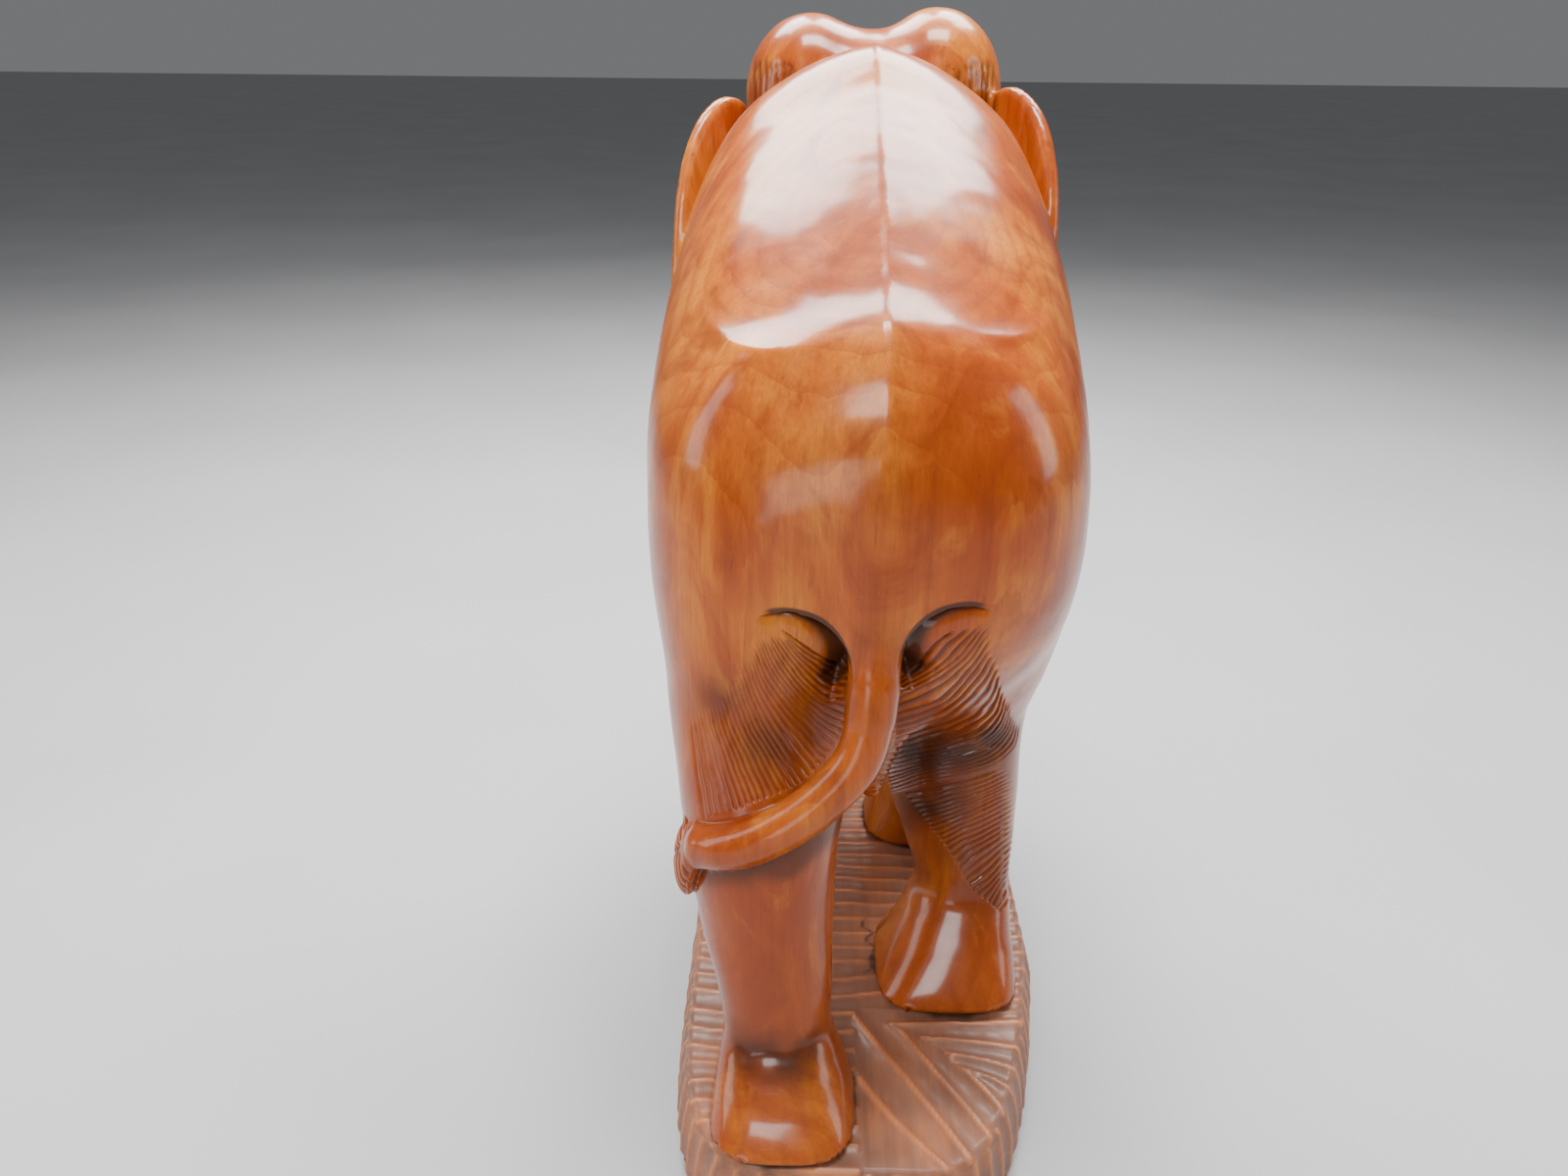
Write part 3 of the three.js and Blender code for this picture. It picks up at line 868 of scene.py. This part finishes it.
def figure_wood():
    n = Nodes("varnished_wood")
    bend = n.noise((9, 9, 2.2), 2.0, 0.5)
    axis = n.mapped((1, 1, 0.16), move=(-0.02, -0.085, 0), turn=(0.05, 0.03, 0))
    shift = n.add("ShaderNodeVectorMath", {0: axis}, operation="ADD")
    n.set(shift.inputs[1], n.maths("MULTIPLY", bend, 0.035))
    rings = n.add(
        "ShaderNodeTexWave",
        {"Vector": shift.outputs[0], "Scale": 34.0, "Distortion": 2.2, "Detail": 3.0, "Detail Scale": 1.4},
        wave_type="RINGS", rings_direction="Z", wave_profile="SAW",
    ).outputs["Fac"]
    fibre = n.noise((620, 620, 16), 4.0, 0.65)
    streak = n.noise((150, 150, 5), 3.0, 0.6, move=(3, 1, 0))
    mottle = n.noise((14, 14, 8), 3.0, 0.55, move=(0, 7, 2))
    pores = n.noise((1500, 1500, 70), 1.0, 0.5, move=(5, 0, 1))
    burl = n.noise((26, 26, 12), 4.0, 0.6, move=(1, 2, 6), distort=1.6)
    reds = [(0.32, (0.31, 0.048, 0.005)), (0.5, (0.44, 0.088, 0.007)), (0.66, (0.58, 0.17, 0.013))]
    base = n.ramp(mottle, reds)
    height = n.add("ShaderNodeSeparateXYZ", {0: n.place}).outputs[2]
    for colour, value, low, high, most in (
        ((0.22, 0.032, 0.005), burl, 0.5, 0.66, 0.65), ((0.66, 0.20, 0.012), burl, 0.46, 0.32, 0.55),
        ((0.25, 0.036, 0.005), rings, 0.5, 1.0, 0.38), ((0.20, 0.030, 0.005), streak, 0.52, 0.75, 0.5),
        ((0.18, 0.028, 0.005), fibre, 0.35, 0.75, 0.38), ((0.08, 0.02, 0.008), pores, 0.66, 0.76, 0.4),
        ((0.21, 0.045, 0.010), height, 0.21, 0.08, 0.4),
    ):
        base = n.tint(base, colour, value, low, high, most)
    # The dark attribute is painted shade in the cuts, hollows, under and beside the tail and on the inner right
    # leg, with some dirt; it is mixed towards near black here.
    dark = n.attribute("dark")
    base = n.mix(dark, base, (0.042, 0.012, 0.005))
    scratch = n.noise((35, 1100, 260), 1.0, 0.4, move=(2, 4, 0))
    rough = n.maths("ADD", n.grey(mottle, 0.3, 0.7, 0.24, 0.34), n.maths("MULTIPLY", dark, 0.2))
    relief = n.maths("ADD", n.maths("MULTIPLY", fibre, 0.5), n.grey(scratch, 0.7, 0.75, 0, -0.35))
    bump = n.bump(relief, 0.16, 0.0006)
    return n.finish(base, rough, bump, coat=0.42, coat_rough=0.13, Specular_IOR_Level=0.15)


def plinth_wood():
    n = Nodes("gouged_plinth_wood")
    fibre = n.noise((420, 14, 420), 4.0, 0.65)
    mottle = n.noise((22, 13, 22), 3.0, 0.6, move=(4, 0, 2))
    grain = n.noise((120, 5, 120), 2.0, 0.5, move=(1, 3, 0))
    browns = [(0.32, (0.18, 0.083, 0.054)), (0.5, (0.26, 0.11, 0.064)), (0.7, (0.40, 0.14, 0.06))]
    base = n.ramp(mottle, browns)
    base = n.tint(base, (0.15, 0.065, 0.043), grain, 0.5, 0.75, 0.5)
    base = n.tint(base, (0.11, 0.05, 0.034), fibre, 0.4, 0.8, 0.4)
    # ridge is a painted highlight along the flute ridges; dark is painted shade round the feet and in the
    # troughs, with the cracks.
    base = n.mix(n.attribute("ridge"), base, (0.60, 0.19, 0.06))
    base = n.mix(n.attribute("dark"), base, (0.028, 0.012, 0.008))
    rough = n.grey(mottle, 0.3, 0.7, 0.42, 0.58)
    bump = n.bump(n.maths("ADD", fibre, grain), 0.22, 0.0008)
    return n.finish(base, rough, bump, coat=0.15, coat_rough=0.25, Specular_IOR_Level=0.35)


def tusk_wood():
    n = Nodes("pale_tusk")
    fibre = n.noise((500, 22, 60), 3.0, 0.6)
    tone = n.noise((40, 9, 30), 2.0, 0.5)
    base = n.ramp(tone, [(0.3, (0.70, 0.58, 0.38)), (0.7, (0.84, 0.75, 0.56))])
    base = n.tint(base, (0.52, 0.38, 0.2), fibre, 0.45, 0.75, 0.4)
    rough = n.grey(tone, 0.3, 0.7, 0.25, 0.36)
    return n.finish(base, rough, n.bump(fibre, 0.1, 0.0004), coat=0.4, coat_rough=0.12)


def eye_black():
    n = Nodes("dark_eye_bead")
    tone = n.noise((300, 300, 300), 2.0, 0.5)
    base = n.ramp(tone, [(0.3, (0.010, 0.006, 0.004)), (0.7, (0.028, 0.014, 0.008))])
    return n.finish(base, n.grey(tone, 0.3, 0.7, 0.06, 0.14), coat=0.8, coat_rough=0.04)


def dowel_wood():
    n = Nodes("bare_dowel_wood")
    fibre = n.noise((900, 900, 30), 3.0, 0.6)
    tone = n.noise((70, 70, 20), 2.0, 0.5)
    base = n.ramp(tone, [(0.3, (0.48, 0.30, 0.15)), (0.7, (0.64, 0.44, 0.24))])
    base = n.tint(base, (0.30, 0.17, 0.08), fibre, 0.45, 0.75, 0.5)
    return n.finish(base, n.grey(fibre, 0.3, 0.7, 0.55, 0.7), n.bump(fibre, 0.2, 0.0004))


# ---------------------------------------------------------------- building the pieces

def build_figure():
    low, high = np.array([-118.0, -246.0, 34.0]), np.array([118.0, 202.0, 548.0])
    vertices, quads = surface_mesh(figure_field, low, high, FIGURE_STEP, undercut_slack)
    vertices = settle(figure_field, vertices)
    vertices, faces = refine(vertices, quads, lambda p: fan_area(p) | face_area(p), figure_field, 2)
    normals = unit(sloped(figure_field, vertices)[1])
    vertices, dark = carve(vertices, normals)
    # dark holds painted shade in the cuts and hollows, under and beside the tail and on the inner right leg,
    # with some dirt.
    dark = np.clip(np.maximum(dark * 0.8, stains_and_painted_shade(vertices, normals)), 0, 1)
    piece = make_object("figure_skin", vertices, faces, figure_wood(), {"dark": dark})
    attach(piece, "figure")
    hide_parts("carved_figure")


DIRT_AND_SHADE_PATCHES = (  # dirt and painted shade on the rump as seen from behind: x, z, half-width, half-height, strength
    (67, 262, 13, 13, 0.75), (47, 240, 19, 20, 0.9), (28, 252, 16, 22, 0.75),
    (-50, 246, 16, 11, 0.5), (-26, 236, 34, 14, 0.62), (-24, 214, 18, 16, 0.6),
)


def stains_and_painted_shade(points, normals):
    """Old polish and dirt on the rump, with painted shade there too; painted shade under the tail, beside it,
    in the crescents and on the inner right leg; and a darker band at the left hind ankle.
    """
    x, y, z = points.T
    plane = on_sheet(points)
    rear = step_up(y, 40, 60)
    facing = step_up(normals[:, 1] + 0.6 * normals[:, 0], -0.3, 0.4)
    cloudy = 0.5 + 0.5 * noise(points, 14, 12)
    fan_dirt_and_shade = np.zeros(len(points))
    # Dirt smudges on the rump, with painted shade in its darker places.
    for px, pz, half_x, half_z, strength in DIRT_AND_SHADE_PATCHES:
        away = ((plane[:, 0] - px) / half_x) ** 2 + ((plane[:, 1] - pz) / half_z) ** 2
        fan_dirt_and_shade = np.maximum(fan_dirt_and_shade, strength * np.exp(-away))
    # Painted shade under the tail.
    below = np.interp(x, [10, 80], [197, 176]) - z
    shade_under_tail = window(below, -6, 5 + 7 * cloudy, 9) * window(x, 16, 74, 8) * step_up(y, 120, 140)
    # Painted shade in the crescent hollows.
    shade_in_hollows = step_up(hollow_depth(points, np.full(len(points), 6.0)), 0.9, 4.6)
    tail_gap = gap_to(TAIL_FORMS, points)
    off_tail = step_up(tail_gap, 0.2, 1.5)
    # Painted shade in the crease where the tail meets the rump.
    shade_beside_tail = 0.25 * bell(tail_gap, 1.2, 1.1)
    # Painted shade on the inner and back side of the right leg.
    inner_leg_shade = window(z, 100, 205, 26) * (x < -8) * (y < 100) * facing
    ankle = bell(z, 80 + 5 * noise(points, 9, 17), 8) * window(x, 24, 60, 7) * step_up(y, 158, 172)
    behind = np.maximum.reduce([fan_dirt_and_shade * (0.6 + 0.4 * cloudy), 0.7 * shade_under_tail, 0.92 * shade_in_hollows])
    legs = 0.9 * ankle * (0.5 + 0.5 * cloudy) + 0.5 * rear * inner_leg_shade * (0.7 + 0.3 * cloudy)
    return rear * (off_tail * behind + shade_beside_tail) + legs


LEFT, RIGHT, END = 96, -104, 222  # the plinth's two sides, and each of its ends
PLINTH_EDGE = [  # the plinth's outline at its foot, as curves of four points that share their ends
    (LEFT, -148), (LEFT, -70), (LEFT, 20), (LEFT, 100), (LEFT, 160), (92, END), (42, END), (20, END),
    (-10, END), (-30, END), (-78, END), (-92, 130), (RIGHT, 60), (RIGHT, 0), (RIGHT, -60), (RIGHT, -120),
    (RIGHT, -185), (-72, -END), (-24, -END), (-10, -END), (8, -END), (22, -END), (66, -END), (LEFT, -196),
    (LEFT, -148),
]
PLINTH_LOOP = bezier_loop(PLINTH_EDGE, 9)
GOUGE_PITCH = 12.6  # from one gouge to the next across the plinth's top
SIDE_PITCH = 13.4  # and round its side
DIAGONALS = Comb(  # gouges that slant across the plinth's top behind the right hind foot
    [
        [(-2, 168), (-16, 187), (-34, 208)], [(-11, 141), (-28, 170), (-46, 202)],
        [(-26, 133), (-42, 162), (-59, 193)], [(-43, 138), (-56, 159), (-70, 180)],
    ],
)
HEEL_FLUTES = Comb(  # gouges that lie round that foot's heel
    [
        [(-30, 121), (-60, 120), (-92, 119)], [(-38, 131), (-62, 133), (-90, 138)],
        [(-44, 141), (-64, 145), (-84, 153)], [(-52, 151), (-66, 157), (-80, 168)],
    ],
)


def flute(line):
    """A scooped gouge, 0 on its ridges and 1 in its trough."""
    return 1 - np.abs(2 * (line - np.floor(line)) - 1) ** 2.2


def flutes(points, around):
    """Depth of the plinth's tool marks, and how near a ridge each point is."""
    x, y, z = points.T
    wander = 0.22 * noise(points * (1, 1, 0.3), 22, 21)
    top = z > PLINTH_TOP - 4.5
    line = (y + 3 * noise(points * (1, 0.5, 0), 40, 22)) / GOUGE_PITCH + wander
    depth = np.where(top, 1.9, 2.2)
    corner = (x < 2) & (y > 112) & top
    where = np.nonzero(corner)[0]
    if len(where):
        diagonal, _, diagonal_gap = DIAGONALS.place(points[where][:, :2])
        heel, _, heel_gap = HEEL_FLUTES.place(points[where][:, :2])
        line[where] = np.where(heel_gap < diagonal_gap, heel, diagonal) + 0.5 * wander[where]
        depth[where] = 2.7
    side_line = (around + 2.5 * noise(points, 30, 23)) / SIDE_PITCH + 0.3 * wander
    trough = np.where(top, flute(line), flute(side_line))
    flat = step_up(z, 0, 3)
    rough = 0.25 * noise(points, 5, 25) + 0.35 * noise(points, 14, 26)
    return flat * (depth * trough + rough), flat * (1 - trough)


def plinth_field(points):
    z = points[:, 2]
    taper = 6.5 * np.clip(z / PLINTH_TOP, 0, 1) ** 2.6 + 2.0 * (1 - step_up(z, 0, 9))
    edge, around = outline_distance(points[:, :2], PLINTH_LOOP)
    wall = edge + taper
    cap = np.abs(z - PLINTH_TOP / 2) - PLINTH_TOP / 2
    rim = 3.0
    block = np.hypot(np.maximum(wall + rim, 0), np.maximum(cap + rim, 0)) - rim
    block += np.minimum(np.maximum(wall + rim, cap + rim), 0)
    block = np.where(z < 12, np.maximum(wall, cap), block)
    near = np.abs(block) < 14
    cut = np.zeros(len(points))
    cut[near] = flutes(points[near], around[near])[0]
    return block + cut


SHADED_FOOT_SEAMS = (  # where each foot meets the plinth, for the painted shade there: centre x and y, half-width, half-depth
    (38.7, 176, 34.8, 38.6), (-49.7, 75.5, 38.5, 38.8), (44, -150, 36.3, 36.8), (-46, -71, 36.3, 36.8),
)


def build_plinth():
    low, high = np.array([RIGHT - 5.0, -END - 6.0, -4.0]), np.array([LEFT + 6.0, END + 6.0, PLINTH_TOP + 4])
    vertices, quads = surface_mesh(plinth_field, low, high, PLINTH_STEP, lambda p: 2.8)
    vertices = settle(plinth_field, vertices, 1, 0.6)
    vertices[:, 2] = np.where(vertices[:, 2] < 0.8, 0, vertices[:, 2])
    ridge = flutes(vertices, outline_distance(vertices[:, :2], PLINTH_LOOP)[1])[1]
    x, y, z = vertices.T
    shaded_seam = np.zeros(len(vertices))
    # Painted shade on the plinth's top round each foot.
    for cx, cy, hx, hy in SHADED_FOOT_SEAMS:
        gap = (np.hypot((x - cx) / hx, (y - cy) / hy) - 1) * 36
        shaded_seam = np.maximum(shaded_seam, bell(gap + 1.2 * noise(vertices, 6, 31), -1, 2.2) * step_up(z, 38, 43))
    cracks = bell(x + 6 * noise(vertices, 7, 33), -9, 0.9) * window(y, 40, 80, 5) * step_up(z, 40, 43)
    # Painted shade in the flute troughs, darker towards the bottom and patchy.
    trough_shade = 0.4 * (1 - step_up(z, 0, 16)) + 0.25 * (0.5 + 0.5 * noise(vertices, 20, 34))
    # dark: painted shade round the feet and in the troughs, and the cracks.
    dark = np.clip(np.maximum.reduce([0.9 * shaded_seam, 0.9 * cracks, trough_shade * (1 - ridge)]), 0, 1)
    # Painted highlight along the flute ridges, patchy.
    ridge_sheen_patches = 0.75 + 0.35 * noise(vertices, 10, 35)
    ridge_highlight = np.clip(step_up(ridge, 0.5, 0.95) * ridge_sheen_patches * (1 - dark), 0, 1)
    piece = make_object("plinth_skin", vertices, quads, plinth_wood(), {"dark": dark, "ridge": ridge_highlight})
    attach(piece, "figure")
    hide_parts("plinth")


def tube(rings):
    """Vertices and faces that join rings of equal length, with a fan to a centre point at each end."""
    rings = np.array(rings)
    count, around = rings.shape[:2]
    vertices = rings.reshape(-1, 3).tolist()
    faces = []
    for i in range(count - 1):
        for j in range(around):
            k = (j + 1) % around
            faces.append((i * around + j, i * around + k, (i + 1) * around + k, (i + 1) * around + j))
    for ring, flip in ((0, True), (count - 1, False)):
        centre = len(vertices)
        vertices.append(rings[ring].mean(0).tolist())
        for j in range(around):
            a, b = ring * around + j, ring * around + (j + 1) % around
            faces.append((b, a, centre) if flip else (a, b, centre))
    return np.array(vertices), faces


def swept(stations, count, around, start_axis):
    """Rings square to a smooth path through [x, y, z, r] stations, the first one square to an axis."""
    line = spline(stations, count)
    path, radii = line[:, :3], line[:, 3]
    run = unit(np.gradient(path, axis=0))
    run[0] = start_axis
    side = unit(np.cross(run, (0.0, 0.3, 1.0)))
    up = np.cross(side, run)
    angle = np.linspace(0, 2 * np.pi, around, endpoint=False)
    spread = np.cos(angle)[None, :, None] * side[:, None] + np.sin(angle)[None, :, None] * up[:, None]
    return path[:, None] + spread * radii[:, None, None]


def build_tusk(name, side):
    """A curved tusk with a rounded tip and a turned tenon."""
    reach = [  # sideways, along y, up and radius, from the seat
        (0, 0, 0, 9.5), (3.1, -11.5, -9.9, 9.4), (6.5, -28, -21, 8.8), (9, -47, -26.5, 7.6),
        (9.5, -66, -24, 5.8), (8, -80, -16, 3.5), (7.2, -84.6, -12.6, 2.0),
    ]
    seat, axis = TUSK_SEAT * (side, 1, 1), TUSK_AXIS * (side, 1, 1)
    stations = [(seat[0] + side * x, seat[1] + y, seat[2] + z, r) for x, y, z, r in reach]
    rings = list(swept(stations, 60, 40, axis))
    last = rings[-1]
    tip = last.mean(0)
    run = unit(tip - rings[-2].mean(0))
    for share in (0.35, 0.65, 0.86, 0.97):
        a = share * math.pi / 2
        rings.append(tip + (last - tip) * math.cos(a) + run * 2.0 * math.sin(a))
    outward = unit(rings[0] - seat)
    turned = (  # along and radius of the tenon's rings, its end chamfered
        (-TENON_LENGTH, 4.9), (1.1 - TENON_LENGTH, 5.9), (-TENON_LENGTH / 2, TENON_RADIUS),
        (-0.4, TENON_RADIUS),
    )
    tenon = [seat + axis * along + outward * radius for along, radius in turned]
    shoulder = seat + (rings[0] - seat) * 0.965
    body = np.array(rings)
    uneven = noise(body.reshape(-1, 3), 16, 41).reshape(body.shape[:2]) * 0.18
    body = body + unit(body - body.mean(1, keepdims=True)) * uneven[:, :, None]
    body[0] = body[0] + axis * 0.5
    vertices, faces = tube([*tenon, shoulder, *body])
    piece = make_object(f"tusk_{name}_skin", vertices, faces, MATERIALS["tusk"])
    soften(piece, 40)
    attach(piece, f"{name}_tusk")
    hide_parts(f"tusk_{name}")


def soften(piece, degrees):
    """Smooth shading with the edges above this angle kept sharp."""
    mesh = piece.data
    bm = bmesh.new()
    bm.from_mesh(mesh)
    bmesh.ops.recalc_face_normals(bm, faces=bm.faces)
    for edge in bm.edges:
        if len(edge.link_faces) == 2 and edge.calc_face_angle(0) > math.radians(degrees):
            edge.smooth = False
    bm.to_mesh(mesh)
    bm.free()


def build_eye(name, centre):
    """A glass-like bead, a little flattened at the back, with a raised pupil that faces outward."""
    out = unit(np.array([np.sign(centre[0]) * 0.8, -0.58, 0.12]))
    side = unit(np.cross(out, (0, 0, 1.0)))
    up = np.cross(side, out)
    angle = np.linspace(0, 2 * np.pi, 40, endpoint=False)
    circle = np.cos(angle)[:, None] * side + np.sin(angle)[:, None] * up
    rings = []
    for polar in np.linspace(176, 3, 34):
        a = math.radians(polar)
        radius = EYE_RADIUS * (1 - 0.04 * step_up(polar, 120, 170))
        radius += 0.22 * step_up(-polar, -34, -27) - 0.18 * bell(polar, 37, 4)
        radius = min(radius, EYE_RADIUS + 0.12)
        rings.append(np.array(centre) + out * radius * math.cos(a) + circle * radius * math.sin(a))
    vertices, faces = tube(rings)
    piece = make_object(f"eye_{name}_bead", vertices, faces, MATERIALS["eye"])
    soften(piece, 60)
    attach(piece, "figure")
    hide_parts(f"eye_{name}")


def build_dowel(leg):
    """A turned peg with chamfered ends and a few saw-rough ripples on its sides."""
    low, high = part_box(f"dowel_{leg}")
    centre = (low + high) / 2 / MM
    bottom, top, radius = low.z / MM, high.z / MM, (high.x - low.x) / 2 / MM
    chamfer = 0.9
    angle = np.linspace(0, 2 * np.pi, 36, endpoint=False)
    heights = [(bottom, 0.55), (bottom, radius - chamfer), (bottom + chamfer, radius)]
    heights += [(h, radius) for h in np.linspace(bottom + 4, top - 4, 14)]
    heights += [(top - chamfer, radius), (top, radius - chamfer), (top, 0.55)]
    rings = []
    for k, (height, r) in enumerate(heights):
        rippled = r + 0.06 * np.cos(9 * angle + 0.4 * k) - 0.06
        x, y = centre.x + rippled * np.cos(angle), centre.y + rippled * np.sin(angle)
        rings.append(np.stack([x, y, np.full(len(angle), height)], axis=1))
    vertices, faces = tube(rings)
    piece = make_object(f"peg_{leg}", vertices, faces, MATERIALS["dowel"])
    soften(piece, 35)
    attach(piece, "figure")
    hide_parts(f"dowel_{leg}")


# ---------------------------------------------------------------- camera, light and floor

CAMERA_LENS = 28.73  # mm, for a sensor 36 mm wide
CAMERA_AXES = (  # the camera's right, up and back
    (-0.99976, -0.02002, 0.00893), (0.0163, -0.40692, 0.91330), (-0.01465, 0.91325, 0.40722),
)
LIGHTS = (  # name, place, what it points at, size, power and, if not white, colour
    ("key", (0.4, -0.85, 1.5), (0, 0, 0.42), (0.72, 0.6), 36, (1, 0.99, 0.97)),
    ("key", (-0.4, -0.85, 1.5), (0, 0, 0.42), (0.72, 0.6), 36, (1, 0.99, 0.97)),
    ("top", (0, 0.02, 1.8), (0, 0.02, 0.4), (0.7, 0.4), 36),
    ("rear", (0.35, 1.5, 1.5), (0, 0.1, 0.3), (0.9, 0.6), 26),
    ("low rear", (0.7, 1.5, 0.3), (0, 0.1, 0.15), (0.5, 0.4), 3),
    ("left", (1.6, 0.1, 0.8), (0, -0.05, 0.3), (0.5, 1.1), 9),
    ("right", (-1.6, 0.2, 0.8), (0, 0, 0.3), (0.5, 1.1), 9),
)


def build_camera():
    data = bpy.data.cameras.new("camera")
    camera = bpy.data.objects.new("camera", data)
    bpy.context.scene.collection.objects.link(camera)
    data.sensor_width = 36
    data.lens = CAMERA_LENS
    data.clip_start, data.clip_end = 0.02, 20
    place = Matrix(CAMERA_AXES).transposed().to_4x4()
    place.translation = Vector(VIEWPOINT * MM)
    camera.matrix_world = place
    bpy.context.scene.camera = camera


def area_light(name, place, target, size, power, colour=(1, 1, 1)):
    data = bpy.data.lights.new(name, "AREA")
    data.shape = "RECTANGLE"
    data.size, data.size_y = size
    data.energy = power
    data.color = colour
    light = bpy.data.objects.new(name, data)
    bpy.context.scene.collection.objects.link(light)
    light.location = place
    light.rotation_euler = (Vector(target) - Vector(place)).to_track_quat("-Z", "Y").to_euler()


def build_stage():
    bpy.ops.mesh.primitive_plane_add(size=30, location=(0, 0, -0.0005))
    floor = bpy.context.object
    floor.name = "floor"
    n = Nodes("pale_floor")
    tone = n.noise((3, 3, 3), 2.0, 0.5)
    base = n.ramp(tone, [(0.3, (0.40, 0.40, 0.41)), (0.7, (0.44, 0.44, 0.45))])
    floor.data.materials.append(n.finish(base, 0.8))
    world = bpy.data.worlds.new("studio")
    world.use_nodes = True
    sky = world.node_tree.nodes["Background"]
    sky.inputs[0].default_value = (0.86, 0.88, 0.90, 1)
    sky.inputs[1].default_value = 0.20
    bpy.context.scene.world = world
    for light in LIGHTS:
        area_light(*light)


MATERIALS = {"tusk": tusk_wood(), "eye": eye_black(), "dowel": dowel_wood()}

build_camera()
build_stage()
build_figure()
build_plinth()
for tusk_name, tusk_side in (("left", 1), ("right", -1)):
    build_tusk(tusk_name, tusk_side)
for eye_name, eye_centre in zip(("left", "right"), EYES):
    build_eye(eye_name, eye_centre)
for leg_name in LEGS:
    build_dowel(leg_name)
